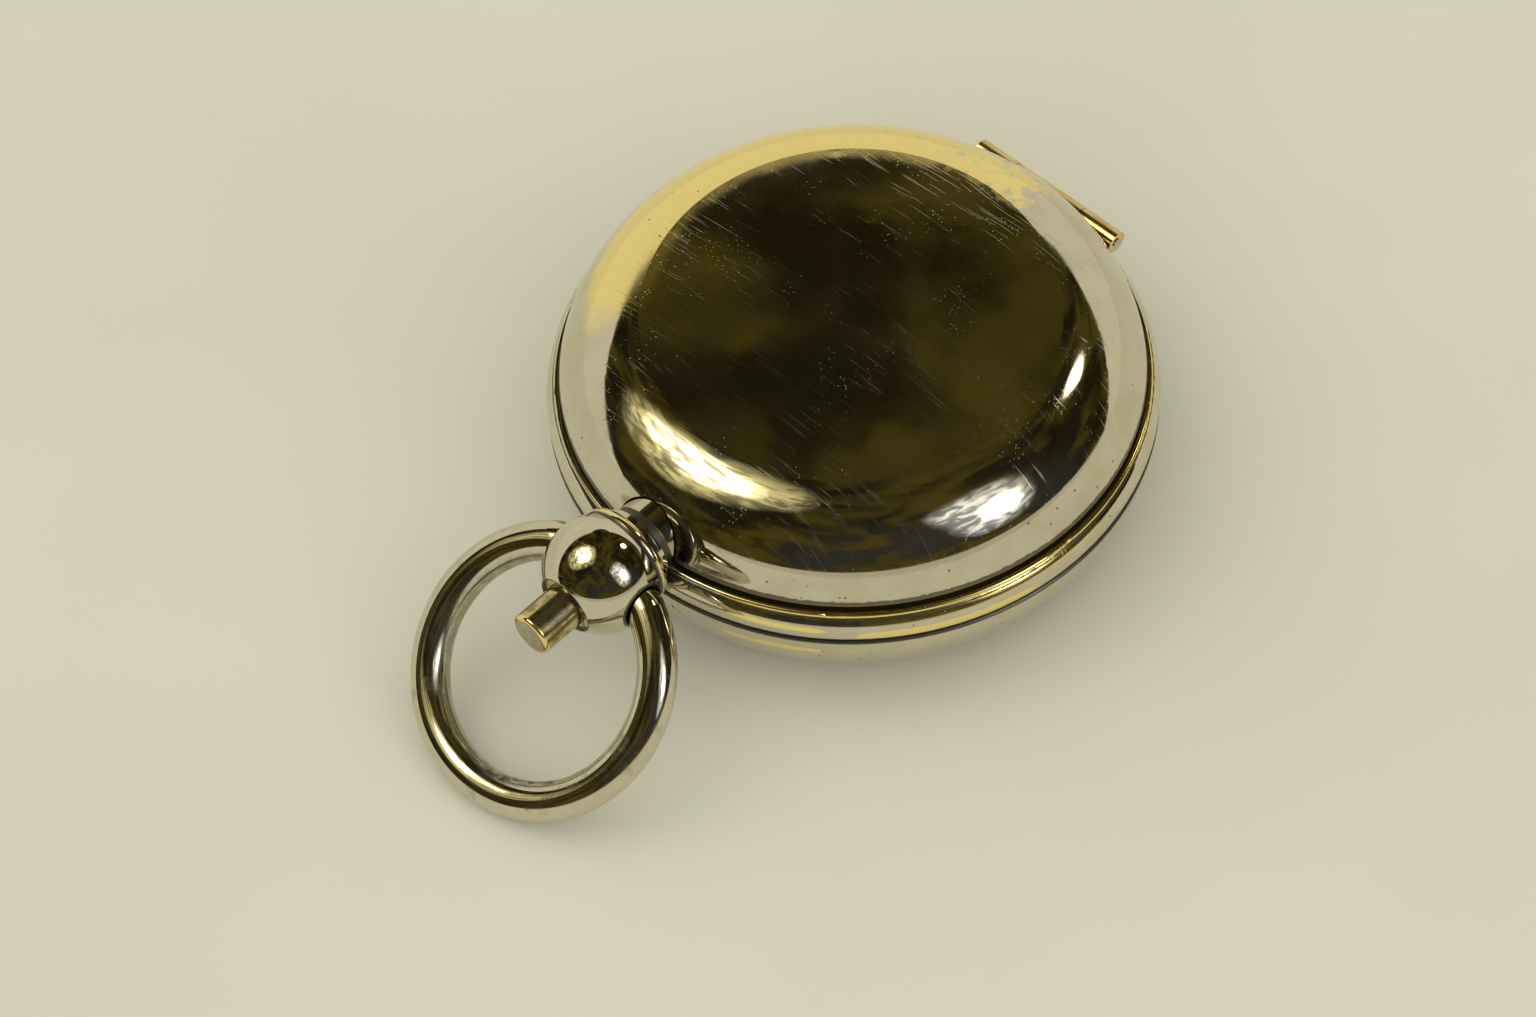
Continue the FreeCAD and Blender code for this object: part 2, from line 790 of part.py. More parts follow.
def lid():
    outer = lid_side(0, lid_edge_level)
    inner = lid_side(lid_wall, lid_edge_level)
    crown = (0, crown_level)
    ceiling = (0, crown_level - lid_wall)
    outline = [
        crown,
        (dome_middle(lid_dome_radius, lid_dome_level, crown, outer["dome"]), outer["dome"]),
        (outer["shoulder_middle"], outer["edge"]),
        inner["edge"],
        (inner["shoulder_middle"], inner["dome"]),
        (dome_middle(lid_dome_radius - lid_wall, lid_dome_level, ceiling, inner["dome"]), ceiling),
    ]
    return lid_cuts(turned(outline))


def lid_rim():
    lip_level = rim_foot_level + rim_lip_height
    edge = lid_side(lid_wall, lid_edge_level)["edge"]
    middle = lid_side(lid_wall, (lid_edge_level + rim_top_level) / 2)["edge"]
    outline = [
        (rim_lip_radius, rim_foot_level),
        (edge[0], rim_foot_level),
        edge,
        (middle, (rim_top_radius, rim_top_level)),
        (rim_undercut_radius, rim_top_level),
        (rim_undercut_radius, lip_level),
        (rim_lip_radius, lip_level),
    ]
    return lid_cuts(turned(outline))


def knuckle(start, end, bore):
    piece = barrel_tool(barrel_radius, start, end)
    return piece.cut(barrel_tool(bore, start - overrun, end + overrun))


def band_knuckles():
    half = middle_knuckle_length / 2
    end = barrel_length / 2
    return Part.makeCompound([knuckle(-end, -half, hinge_pin_radius),
                              knuckle(half, end, hinge_pin_radius)])


def lid_knuckle():
    half = middle_knuckle_length / 2 - knuckle_gap
    return knuckle(-half, half, hinge_pin_radius + hinge_running_clearance)


def hinge_pin():
    end = barrel_length / 2 + hinge_pin_proud
    return barrel_tool(hinge_pin_radius, -end, end)


def lift_screw_shank():
    azimuth = math.radians(lift_screw_azimuth)
    way = vector(math.cos(azimuth), math.sin(azimuth), 0)
    level = ledge_level - lift_spring_depth + lift_spring_height / 2
    start = spot(band_bore_radius - lift_spring_thickness, lift_screw_azimuth, level)
    return Part.makeCylinder(lift_screw_radius, lift_screw_length, start, way)


def lift_spring_screw():
    azimuth = math.radians(lift_screw_azimuth)
    way = vector(math.cos(azimuth), math.sin(azimuth), 0)
    level = ledge_level - lift_spring_depth + lift_spring_height / 2
    reach = band_bore_radius - lift_spring_thickness - lift_head_thickness
    head = Part.makeCylinder(lift_head_radius, lift_head_thickness,
                             spot(reach, lift_screw_azimuth, level), way)
    return head.fuse(lift_screw_shank())


def lift_spring():
    """Curved strip against the band's bore, with a finger up to the lid's rim."""
    inner = band_bore_radius - lift_spring_thickness
    low = ledge_level - lift_spring_depth
    high = low + lift_spring_height
    toe_high = rim_foot_level - finger_gap
    toe_low = toe_high - finger_toe_height
    strip = arc_block(inner, band_bore_radius, low, high,
                      lift_spring_start_azimuth, lift_spring_end_azimuth)
    finger = arc_block(inner, band_bore_radius, high, toe_low,
                       lift_spring_start_azimuth, finger_end_azimuth)
    toe = arc_block(inner, band_bore_radius + finger_reach, toe_low, toe_high,
                    lift_spring_start_azimuth, finger_end_azimuth)
    spring = strip.fuse(finger).fuse(toe).removeSplitter()
    return spring.cut(lift_spring_screw())


def compass_bowl():
    bottom = floor_level - bowl_floor_thickness
    outline = [
        (post_tail_radius, bottom),
        (bowl_outer_radius, bottom),
        (bowl_outer_radius, ledge_level - bowl_flange_thickness),
        (bowl_flange_radius, ledge_level - bowl_flange_thickness),
        (bowl_flange_radius, ledge_level),
        (bowl_inner_radius, ledge_level),
        (bowl_inner_radius, dial_level),
        (bowl_lower_radius, dial_level),
        (bowl_lower_radius, floor_level),
        (post_tail_radius, floor_level),
    ]
    bowl = turned(outline)
    finger_slot = arc_block(band_bore_radius - lift_spring_thickness - finger_reach,
                            bowl_flange_radius + overrun,
                            ledge_level - bowl_flange_thickness - overrun,
                            ledge_level + overrun,
                            lift_spring_start_azimuth - finger_slot_margin_angle,
                            finger_end_azimuth + finger_slot_margin_angle)
    bowl = bowl.cut(finger_slot)
    bowl = bowl.cut(upright(plunger_radius + plunger_clearance, plunger_reach, arrest_azimuth,
                            floor_level, ledge_level + overrun))
    half = lever_width / 2 + lever_slot_clearance
    slot = box_between(vector(bowl_lower_radius - lever_slot_clearance, -half, floor_level),
                       vector(bowl_outer_radius + overrun, half, dial_level - lever_slot_clearance))
    bowl = bowl.cut(at_azimuth(slot, arrest_azimuth))
    return bowl.cut(leaf_screw_shank())


def bezel():
    high = bezel_top_level
    glass_seat = crystal_radius + crystal_fit_clearance
    outline = [
        (bezel_spigot_radius - bezel_spigot_wall, bezel_foot_level - bezel_spigot_depth),
        (bezel_spigot_radius, bezel_foot_level - bezel_spigot_depth),
        (bezel_spigot_radius, bezel_foot_level),
        (bezel_radius, bezel_foot_level),
        (bezel_radius, high - bezel_bevel),
        (arc_point((bezel_radius - bezel_bevel, high - bezel_bevel), bezel_bevel,
                   math.radians(quarter_turn) / 2), (bezel_radius - bezel_bevel, high)),
        (glass_seat, high),
        (glass_seat, crystal_level),
        (bezel_opening_radius, crystal_level),
        (bezel_opening_radius, bezel_foot_level),
    ]
    piece = turned(outline)
    front = -quarter_turn
    relief = arc_block(bezel_relief_radius, bezel_radius + overrun,
                       bezel_foot_level - overrun, high + overrun,
                       front - bezel_relief_half_angle, front + bezel_relief_half_angle)
    piece = piece.cut(relief)
    return piece.cut(upright(plunger_radius + plunger_clearance, plunger_reach, arrest_azimuth,
                             bezel_foot_level - overrun, high + overrun))


def crystal_dome():
    """Radius of the crystal's slightly domed face, and the level of its centre."""
    radius = (crystal_radius ** 2 + crystal_dome_rise ** 2) / (crystal_dome_rise * 2)
    return radius, crystal_edge_level + crystal_dome_rise - radius


def crystal():
    """Glass with a flat back and a very slight dome on its face."""
    dome_radius, dome_level = crystal_dome()
    edge = (crystal_radius, crystal_edge_level)
    top = (0, dome_level + dome_radius)
    return turned([
        (0, crystal_level),
        (crystal_radius, crystal_level),
        edge,
        (dome_middle(dome_radius, dome_level, edge, top), top),
    ])


def crystal_ring():
    """Split ring sprung into the bezel over the crystal's edge."""
    dome_radius, dome_level = crystal_dome()
    inner = crystal_radius - crystal_ring_width
    inner_level = dome_level + math.sqrt(dome_radius ** 2 - inner ** 2)
    high = crystal_edge_level + crystal_ring_height
    return turned([
        (inner, inner_level + crystal_fit_clearance),
        (crystal_radius, crystal_edge_level + crystal_fit_clearance),
        (crystal_radius, high),
        (inner, high),
    ], quarter_turn + crystal_ring_split_angle / 2, full_turn - crystal_ring_split_angle)


def dial_spots():
    return [pillar_azimuth, pillar_azimuth + full_turn / 2]


def dial_plate():
    plate = ring(dial_hole_radius, dial_radius, dial_level, dial_face_level)
    for azimuth in dial_spots():
        plate = plate.cut(upright(dial_screw_radius, pillar_circle_radius, azimuth,
                                  dial_level - overrun, dial_face_level + overrun))
    return plate


def degree_ring():
    return ring(degree_ring_radius, dial_radius, dial_face_level,
                dial_face_level + degree_ring_thickness)


def dial_pillars():
    pillars = []
    for azimuth in dial_spots():
        pillar = upright(pillar_radius, pillar_circle_radius, azimuth, floor_level, dial_level)
        pillars.append(pillar.cut(dial_screw(azimuth)))
    return Part.makeCompound(pillars)


def dial_screw(azimuth):
    head = upright(dial_head_radius, pillar_circle_radius, azimuth, dial_face_level,
                   dial_face_level + dial_head_thickness)
    shank = upright(dial_screw_radius, pillar_circle_radius, azimuth,
                    dial_level - dial_screw_length, dial_face_level)
    return head.fuse(shank)


def dial_screws():
    return Part.makeCompound([dial_screw(azimuth) for azimuth in dial_spots()])


def pivot_post():
    top = bead_level - post_top_depth
    bottom = floor_level - bowl_floor_thickness - post_tail_length
    outline = [
        (0, bottom),
        (post_tail_radius, bottom),
        (post_tail_radius, floor_level),
        (post_radius, floor_level),
        (post_radius, top),
        (pivot_radius, top),
        (pivot_radius, top - pivot_socket_depth),
        (0, top - pivot_socket_depth),
    ]
    return turned(outline)


def pivot_pin():
    foot = bead_level - post_top_depth - pivot_socket_depth
    shoulder = pivot_tip_level - pivot_cone_length
    return turned([(0, foot), (pivot_radius, foot), (pivot_radius, shoulder),
                   (0, pivot_tip_level)])


def post_nut():
    high = floor_level - bowl_floor_thickness
    low = high - nut_thickness
    corner = nut_flats / 2 / math.cos(math.radians(full_turn / 12))
    corners = [spot(corner, full_turn * side / 6, low) for side in range(7)]
    nut = Part.Face(Part.makePolygon(corners)).extrude(vector(0, 0, nut_thickness))
    return nut.cut(disc(post_tail_radius, low - overrun, high + overrun))


def lifting_sleeve():
    bore = post_radius + sleeve_slide_clearance
    foot_low = lifter_foot_level
    foot_high = foot_low + lifter_foot_thickness
    top = hub_base_level - lifter_gap
    return turned([
        (bore, foot_low),
        (lifter_foot_radius, foot_low),
        (lifter_foot_radius, foot_high),
        (lifter_radius, foot_high),
        (lifter_radius, top - lifter_flange_thickness),
        (lifter_flange_radius, top - lifter_flange_thickness),
        (lifter_flange_radius, top),
        (bore, top),
    ])


def needle():
    """Flat steel lozenge, widest at the eye, with slim blunt ends."""
    level = needle_level
    end = needle_length / 2
    half = needle_width / 2
    tip = needle_tip_width / 2
    outline = [(half, 0), (tip, end), (-tip, end), (-half, 0), (-tip, -end), (tip, -end)]
    corners = [vector(x, y, level) for x, y in outline + outline[:1]]
    blade = Part.Face(Part.makePolygon(corners)).extrude(vector(0, 0, needle_thickness))
    boss = disc(needle_boss_radius, level, level + needle_thickness)
    blade = blade.fuse(boss).removeSplitter()
    return blade.cut(disc(needle_eye_radius, level - overrun, level + overrun))


def needle_hub():
    """Turned cap that carries the needle on its skirt and the jewel in its bore."""
    base = hub_base_level
    top = hub_top_level
    eye_level = needle_level
    return turned([
        (hub_bore_radius, base),
        (hub_skirt_radius, base),
        (hub_skirt_radius, eye_level),
        (needle_eye_radius, eye_level),
        (needle_eye_radius, eye_level + needle_thickness),
        (hub_crown_radius, top),
        (0, top),
        (0, top - jewel_top_wall),
        (hub_bore_radius, top - jewel_top_wall),
    ])


def needle_jewel():
    """Agate cup pressed in the hub's bore, open below where the point enters."""
    top = jewel_level + jewel_height
    return turned([
        (jewel_cone_radius, jewel_level),
        (hub_bore_radius, jewel_level),
        (hub_bore_radius, top),
        (0, top),
        (0, jewel_level + jewel_cone_depth),
    ])


def blade_half_width(reach):
    """Half the needle's width at a distance from its middle."""
    share = reach / (needle_length / 2)
    return (needle_width * (1 - share) + needle_tip_width * share) / 2


def balance_slider():
    """Square sleeve of brass that slips along the south arm to level the needle."""
    level = needle_level
    half = blade_half_width(slider_reach) + slider_clearance
    low = level - slider_clearance
    high = level + needle_thickness + slider_clearance
    outside = box_between(
        vector(-half - slider_wall, -slider_reach - slider_length, low - slider_wall),
        vector(half + slider_wall, -slider_reach, high + slider_wall))
    inside = box_between(vector(-half, -slider_reach - slider_length - overrun, low),
                         vector(half, -slider_reach + overrun, high))
    return outside.cut(inside)


def lever_rest_angle():
    """Tilt with the lid shut: the fork's far end is just under the sleeve's foot."""
    rise = lever_drop - lever_contact_gap - lever_thickness / 2
    return math.degrees(math.asin(rise / (lever_pivot_reach + lever_fork_reach)))


def lever_angle():
    """Turn of the lever that lets the sleeve down, until its near side would touch."""
    return lever_rest_angle() + math.degrees(math.asin(lever_open_sine))


def plunger_travel():
    """Rise of the plunger as the lid opens, from the lever's outer arm."""
    return math.radians(lever_angle()) * (plunger_reach - lever_pivot_reach)


def lever_turned(shape):
    """Places a piece drawn level along X into the lever's rest pose."""
    placed = shape.copy()
    placed.rotate(vector(lever_pivot_reach, 0, lever_level), vector(0, 1, 0),
                  lever_rest_angle())
    return at_azimuth(placed, arrest_azimuth)


def cross_rod(radius, half_length):
    """Rod through the lever's pivot, across the lever, drawn for azimuth zero."""
    return Part.makeCylinder(radius, half_length * 2,
                             vector(lever_pivot_reach, -half_length, lever_level),
                             vector(0, 1, 0))


def arrest_lever():
    level = lever_level
    half = lever_width / 2
    low = level - lever_thickness / 2
    high = level + lever_thickness / 2
    arm = box_between(vector(lever_fork_reach, -half, low),
                      vector(plunger_reach + lever_end_overrun, half, high))
    fork = box_between(vector(-lever_fork_reach, -lever_fork_width / 2, low),
                       vector(lever_fork_length, lever_fork_width / 2, high))
    fork = fork.cut(disc(lever_fork_slot_radius, low - overrun, high + overrun))
    fork = fork.cut(box_between(
        vector(-lever_fork_reach - overrun, -lever_fork_slot_radius, low - overrun),
        vector(0, lever_fork_slot_radius, high + overrun)))
    lever = arm.fuse(fork).fuse(cross_rod(lever_barrel_radius, half)).removeSplitter()
    lever = lever.cut(disc(lever_fork_slot_radius, low - overrun, high + overrun))
    lever = lever.cut(cross_rod(lever_pin_radius + lever_pin_clearance, half + overrun))
    return lever_turned(lever)


def lever_pin():
    half = lever_width / 2 + bracket_ear_gap + bracket_ear_thickness
    return at_azimuth(cross_rod(lever_pin_radius, half), arrest_azimuth)


def lever_bracket():
    """Foot plate on the bowl's floor with an ear at each side of the lever."""
    level = lever_level
    inside = lever_width / 2 + bracket_ear_gap
    outside = inside + bracket_ear_thickness
    half_length = bracket_base_length / 2
    base = box_between(vector(lever_pivot_reach - half_length, -outside, floor_level),
                       vector(lever_pivot_reach + half_length, outside,
                              floor_level + bracket_base_thickness))
    bracket = base
    half_ear = bracket_ear_width / 2
    for side in (-1, 1):
        near = inside * side
        far = outside * side
        low = vector(lever_pivot_reach - half_ear, min(near, far), floor_level)
        high = vector(lever_pivot_reach + half_ear, max(near, far), level)
        bracket = bracket.fuse(box_between(low, high))
        bracket = bracket.fuse(Part.makeCylinder(
            half_ear, bracket_ear_thickness,
            vector(lever_pivot_reach, min(near, far), level), vector(0, 1, 0)))
    bracket = bracket.removeSplitter().cut(cross_rod(lever_pin_radius, outside))
    return at_azimuth(bracket, arrest_azimuth)


def lever_spring():
    """Bent leaf on the floor that presses the lever's outer arm up."""
    slope = math.tan(math.radians(lever_rest_angle()))
    arm_low = (lever_level - lever_thickness / 2
               - (leaf_tip_reach - lever_pivot_reach) * slope)
    tip_low = arm_low - leaf_tip_gap - leaf_thickness
    corners = [
        (leaf_foot_end, floor_level),
        (leaf_foot_end, floor_level + leaf_thickness),
        (leaf_foot_start, floor_level + leaf_thickness),
        (leaf_tip_reach, tip_low + leaf_thickness),
        (leaf_tip_reach, tip_low),
        (leaf_foot_start, floor_level),
    ]
    half = leaf_width / 2
    points = [vector(reach, -half, level) for reach, level in corners + corners[:1]]
    leaf = Part.Face(Part.makePolygon(points)).extrude(vector(0, leaf_width, 0))
    return at_azimuth(leaf, arrest_azimuth).cut(leaf_screw_shank())


def leaf_screw_shank():
    high = floor_level + leaf_thickness
    return upright(leaf_screw_radius, leaf_screw_reach, arrest_azimuth,
                   high - leaf_screw_length, high)


def leaf_screw():
    low = floor_level + leaf_thickness
    head = upright(leaf_head_radius, leaf_screw_reach, arrest_azimuth, low,
                   low + leaf_head_thickness)
    return head.fuse(leaf_screw_shank())


def arrest_plunger():
    """Pin with a round head that the shut lid holds down on the lever's outer end."""
    distance = lid_shoulder_radius - lid_wall - plunger_radius - plunger_lid_gap
    head_level = lid_shoulder_level + math.sqrt(
        distance ** 2 - (plunger_reach - lid_shoulder_reach) ** 2)
    slope = math.tan(math.radians(lever_rest_angle()))
    arm_high = (lever_level + lever_thickness / 2
                - (plunger_reach - plunger_radius - lever_pivot_reach) * slope)
    low = arm_high + lever_contact_gap
    pin = turned([
        (0, low),
        (plunger_radius, low),
        (plunger_radius, head_level),
        (arc_point((0, head_level), plunger_radius, math.radians(quarter_turn) / 2),
         (0, head_level + plunger_radius)),
    ])
    pin.translate(spot(plunger_reach, arrest_azimuth, 0))
    return pin


part_makers = {
    "back_cover": back_cover,
    "case_band": case_band,
    "pendant": pendant,
    "pendant_sleeve": pendant_sleeve,
    "bow": bow,
    "push_piece": push_piece,
    "stem_collar": stem_collar,
    "push_spring": push_spring,
    "latch_plate": latch_plate,
    "latch_screw": latch_screw,
    "lid": lid,
    "lid_rim": lid_rim,
    "band_knuckles": band_knuckles,
    "lid_knuckle": lid_knuckle,
    "hinge_pin": hinge_pin,
    "lift_spring": lift_spring,
    "lift_spring_screw": lift_spring_screw,
    "compass_bowl": compass_bowl,
    "bezel": bezel,
    "crystal": crystal,
    "crystal_ring": crystal_ring,
    "dial_plate": dial_plate,
    "degree_ring": degree_ring,
    "dial_pillars": dial_pillars,
    "dial_screws": dial_screws,
    "pivot_post": pivot_post,
    "pivot_pin": pivot_pin,
    "post_nut": post_nut,
    "lifting_sleeve": lifting_sleeve,
    "needle": needle,
    "needle_hub": needle_hub,
    "needle_jewel": needle_jewel,
    "balance_slider": balance_slider,
    "arrest_lever": arrest_lever,
    "lever_pin": lever_pin,
    "lever_bracket": lever_bracket,
    "lever_spring": lever_spring,
    "leaf_screw": leaf_screw,
    "arrest_plunger": arrest_plunger,
}

for node, make in part_makers.items():
    shape = make()
    print("%-20s solids %d valid %s volume %.3f" % (node, len(shape.Solids), shape.isValid(),
                                                    shape.Volume))
    shape.exportStep("parts/%s.step" % node)
print("bow tilt %.3f degrees, pendant level %.3f, bead level %.3f, hinge level %.3f"
      % (bow_tilt(), pendant_level, bead_level, hinge_level))
print("lever angle %.4f degrees, plunger travel %.4f mm, lever pivot level %.4f"
      % (lever_angle(), plunger_travel(), lever_level))
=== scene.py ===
import math
import bmesh
import bpy
from mathutils import Matrix, Vector


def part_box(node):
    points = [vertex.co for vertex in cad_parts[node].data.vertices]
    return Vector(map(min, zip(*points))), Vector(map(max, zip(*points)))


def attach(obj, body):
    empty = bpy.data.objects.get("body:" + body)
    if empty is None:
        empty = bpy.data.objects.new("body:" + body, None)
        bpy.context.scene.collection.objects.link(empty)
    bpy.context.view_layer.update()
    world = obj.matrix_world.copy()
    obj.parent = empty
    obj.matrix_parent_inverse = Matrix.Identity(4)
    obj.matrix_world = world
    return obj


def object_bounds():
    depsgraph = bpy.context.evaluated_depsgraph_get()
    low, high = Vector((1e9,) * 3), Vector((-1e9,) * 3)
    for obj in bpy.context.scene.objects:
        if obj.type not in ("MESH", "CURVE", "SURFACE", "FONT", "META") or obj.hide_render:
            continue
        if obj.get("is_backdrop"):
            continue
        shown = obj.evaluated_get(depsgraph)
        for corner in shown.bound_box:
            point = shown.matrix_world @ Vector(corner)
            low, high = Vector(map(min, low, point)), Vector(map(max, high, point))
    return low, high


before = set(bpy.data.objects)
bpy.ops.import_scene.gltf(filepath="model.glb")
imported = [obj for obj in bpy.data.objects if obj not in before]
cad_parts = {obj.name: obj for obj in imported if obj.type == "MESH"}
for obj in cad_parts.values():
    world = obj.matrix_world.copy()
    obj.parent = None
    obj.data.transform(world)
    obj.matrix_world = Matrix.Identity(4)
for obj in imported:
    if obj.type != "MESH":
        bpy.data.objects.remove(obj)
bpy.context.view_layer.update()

# The view
# A long lens looks down on the shut case, from halfway between its pendant and its right side.
# The pendant and its ring point to the lower left of the picture.
mm = 0.001
bead_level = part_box("case_band")[1].z
view_turn = math.radians(46.62)
view_height = math.radians(54.35)
view_roll = math.radians(-3.6)
view_distance = 299.1 * mm
view_right_shift = 6.33 * mm
view_up_shift = 10.57 * mm
film_width = 36
lens_length = 93.5
nearest_share = 0.05
farthest_share = 100
backwards = Vector((math.sin(view_turn) * math.cos(view_height),
                    -math.cos(view_turn) * math.cos(view_height),
                    math.sin(view_height)))
level_right = Vector((math.cos(view_turn), math.sin(view_turn), 0))
level_up = backwards.cross(level_right)
picture_right = level_right * math.cos(view_roll) + level_up * math.sin(view_roll)
picture_up = level_up * math.cos(view_roll) - level_right * math.sin(view_roll)
looked_at = (Vector((0, 0, bead_level)) - picture_right * view_right_shift
             - picture_up * view_up_shift)
lens = bpy.data.cameras.new("lens")
lens.sensor_width = film_width
lens.lens = lens_length
lens.clip_start = view_distance * nearest_share
lens.clip_end = view_distance * farthest_share
camera = bpy.data.objects.new("camera", lens)
bpy.context.scene.collection.objects.link(camera)
turned_axes = Matrix((picture_right, picture_up, backwards)).transposed()
camera.matrix_world = (Matrix.Translation(looked_at + backwards * view_distance)
                       @ turned_axes.to_4x4())
bpy.context.scene.camera = camera
bpy.context.scene.view_settings.view_transform = "Standard"


# The room
# A dim olive room, which the polish shows. Pale paper sweeps up behind the case and lies low in
# front of it. A warm lamp stands on the left, a cooler one on the right and a small one behind.
def direction_of(turn, rise):
    turn = math.radians(turn)
    rise = math.radians(rise)
    level = math.cos(rise)
    return Vector((math.cos(turn) * level, math.sin(turn) * level, math.sin(rise)))


def set_socket(tree, socket, value):
    if isinstance(value, bpy.types.NodeSocket):
        tree.links.new(value, socket)
    elif isinstance(value, tuple) and len(value) == 3 and socket.type == "RGBA":
        socket.default_value = (*value, 1)
    else:
        socket.default_value = value


def add_node(tree, kind, settings=None, **inputs):
    made = tree.nodes.new(kind)
    for name, value in (settings or {}).items():
        setattr(made, name, value)
    for name, value in inputs.items():
        set_socket(tree, made.inputs[name.replace("_", " ")], value)
    return made


def calculate(tree, operation, *values):
    made = tree.nodes.new("ShaderNodeMath")
    made.operation = operation
    for socket, value in zip(made.inputs, values):
        set_socket(tree, socket, value)
    return made.outputs[0]


def chained(tree, operation, values):
    result = values[0]
    for value in values[1:]:
        result = calculate(tree, operation, result, value)
    return result


def product(tree, *values):
    return chained(tree, "MULTIPLY", values)


def total(tree, *values):
    return chained(tree, "ADD", values)


def along(tree, vector, direction):
    made = add_node(tree, "ShaderNodeVectorMath", {"operation": "DOT_PRODUCT"})
    tree.links.new(vector, made.inputs[0])
    made.inputs[1].default_value = direction
    return made.outputs["Value"]


def scaled(tree, colour, amount):
    made = add_node(tree, "ShaderNodeVectorMath", {"operation": "SCALE"}, Scale=amount)
    made.inputs[0].default_value = colour
    return made.outputs[0]


def rising(tree, value, low, high, first=0.0, last=1.0):
    """Turns low to high into first to last, softly; high under low makes it fall."""
    made = add_node(tree, "ShaderNodeMapRange", {"interpolation_type": "SMOOTHSTEP"}, Value=value)
    made.inputs["From Min"].default_value = low
    made.inputs["From Max"].default_value = high
    made.inputs["To Min"].default_value = first
    made.inputs["To Max"].default_value = last
    return made.outputs["Result"]


def mixed(tree, share, first, second, blend_type="MIX"):
    made = add_node(tree, "ShaderNodeMix", {"data_type": "RGBA", "blend_type": blend_type})
    set_socket(tree, made.inputs[0], share)
    set_socket(tree, made.inputs[6], first)
    set_socket(tree, made.inputs[7], second)
    return made.outputs[2]


def under_slope(tree, looking, turn, climb):
    """1 for what lies under a slope that climbs by climb, as a tangent, towards turn."""
    edge = 0.01
    way = direction_of(turn, 0) * climb - Vector((0, 0, 1))
    return rising(tree, along(tree, looking, way), -edge, edge)


def outside_circle(tree, looking, turn, rise, reach, edge):
    """1 for what lies more than reach degrees away from a direction."""
    return rising(tree, along(tree, looking, direction_of(turn, rise)),
                  math.cos(math.radians(reach - edge)), math.cos(math.radians(reach + edge)))


def soft_lamp(tree, looking, behind, turn, rise, half_width, half_height, edge, colour, strength,
              folds):
    """Adds a lamp behind a folded cloth, its half sizes given as tangents."""
    roundness = 2.6
    middle = direction_of(turn, rise)
    side = Vector((-middle.y, middle.x, 0)).normalized()
    top = middle.cross(side)
    ahead = calculate(tree, "MAXIMUM", along(tree, looking, middle), 0.01)
    reach = []
    for way, half in ((side, half_width), (top, half_height)):
        across = calculate(tree, "DIVIDE", along(tree, looking, way), ahead)
        share = calculate(tree, "DIVIDE", calculate(tree, "ABSOLUTE", across), half)
        reach.append(calculate(tree, "POWER", share, roundness))
    glow = rising(tree, total(tree, *reach), 1.0, 1.0 - edge)
    cloth = add_node(tree, "ShaderNodeTexNoise", Vector=looking, Scale=9.0, Detail=3, Distortion=1.2)
    shade = rising(tree, cloth.outputs["Fac"], 0.42, 0.6, 1.0 - folds, 1.0)
    shown = product(tree, glow, shade, rising(tree, ahead, 0.02, 0.1, 0.0, strength))
    return mixed(tree, 1.0, behind, scaled(tree, colour, shown), "ADD")


room = bpy.data.worlds.new("room")
room.use_nodes = True
tree = room.node_tree
tree.nodes.clear()
looking = add_node(tree, "ShaderNodeTexCoord").outputs["Generated"]

dark_colour = (0.014, 0.011, 0.003)
olive_colour = (0.078, 0.060, 0.008)
slate_colour = (0.034, 0.036, 0.034)
patch = add_node(tree, "ShaderNodeTexNoise", Vector=looking, Scale=3.1, Detail=3.5, Roughness=0.55,
                 Distortion=0.6).outputs["Fac"]
slate_side = rising(tree, along(tree, looking, direction_of(-20, 0)), 0.35, 0.8)
slate_share = product(tree, slate_side, rising(tree, patch, 0.62, 0.38))
room_colour = mixed(tree, rising(tree, patch, 0.40, 0.62), dark_colour, olive_colour)
room_colour = mixed(tree, slate_share, room_colour, slate_colour)

paper_colour = (0.73, 0.70, 0.55)
front_paper_colour = (0.56, 0.53, 0.40)
sweep = under_slope(tree, looking, turn=139, climb=0.84)
round_edge = outside_circle(tree, looking, turn=134.6, rise=49.4, reach=15.35, edge=0.3)
front = under_slope(tree, looking, turn=-30, climb=0.12)
room_colour = mixed(tree, product(tree, sweep, round_edge), room_colour, paper_colour)
room_colour = mixed(tree, front, room_colour, front_paper_colour)

warm_lamp = dict(turn=-138, rise=57, half_width=0.43, half_height=0.54, edge=0.75,
                 colour=(1.0, 0.92, 0.50), strength=1.0, folds=0.75)
warm_core = dict(turn=-143, rise=60, half_width=0.28, half_height=0.29, edge=0.95,
                 colour=(1.0, 0.94, 0.72), strength=6.0, folds=0.9)
cool_lamp = dict(turn=6, rise=38, half_width=0.30, half_height=0.48, edge=0.9,
                 colour=(0.90, 0.94, 0.98), strength=1.6, folds=0.75)
cool_core = dict(turn=10, rise=34, half_width=0.15, half_height=0.20, edge=0.9,
                 colour=(0.98, 0.98, 0.94), strength=6.0, folds=0.6)
small_lamp = dict(turn=77, rise=44, half_width=0.09, half_height=0.10, edge=0.8,
                  colour=(1.0, 0.96, 0.78), strength=4.5, folds=0.0)
for lamp in (warm_lamp, warm_core, cool_lamp, cool_core, small_lamp):
    room_colour = soft_lamp(tree, looking, room_colour, **lamp)

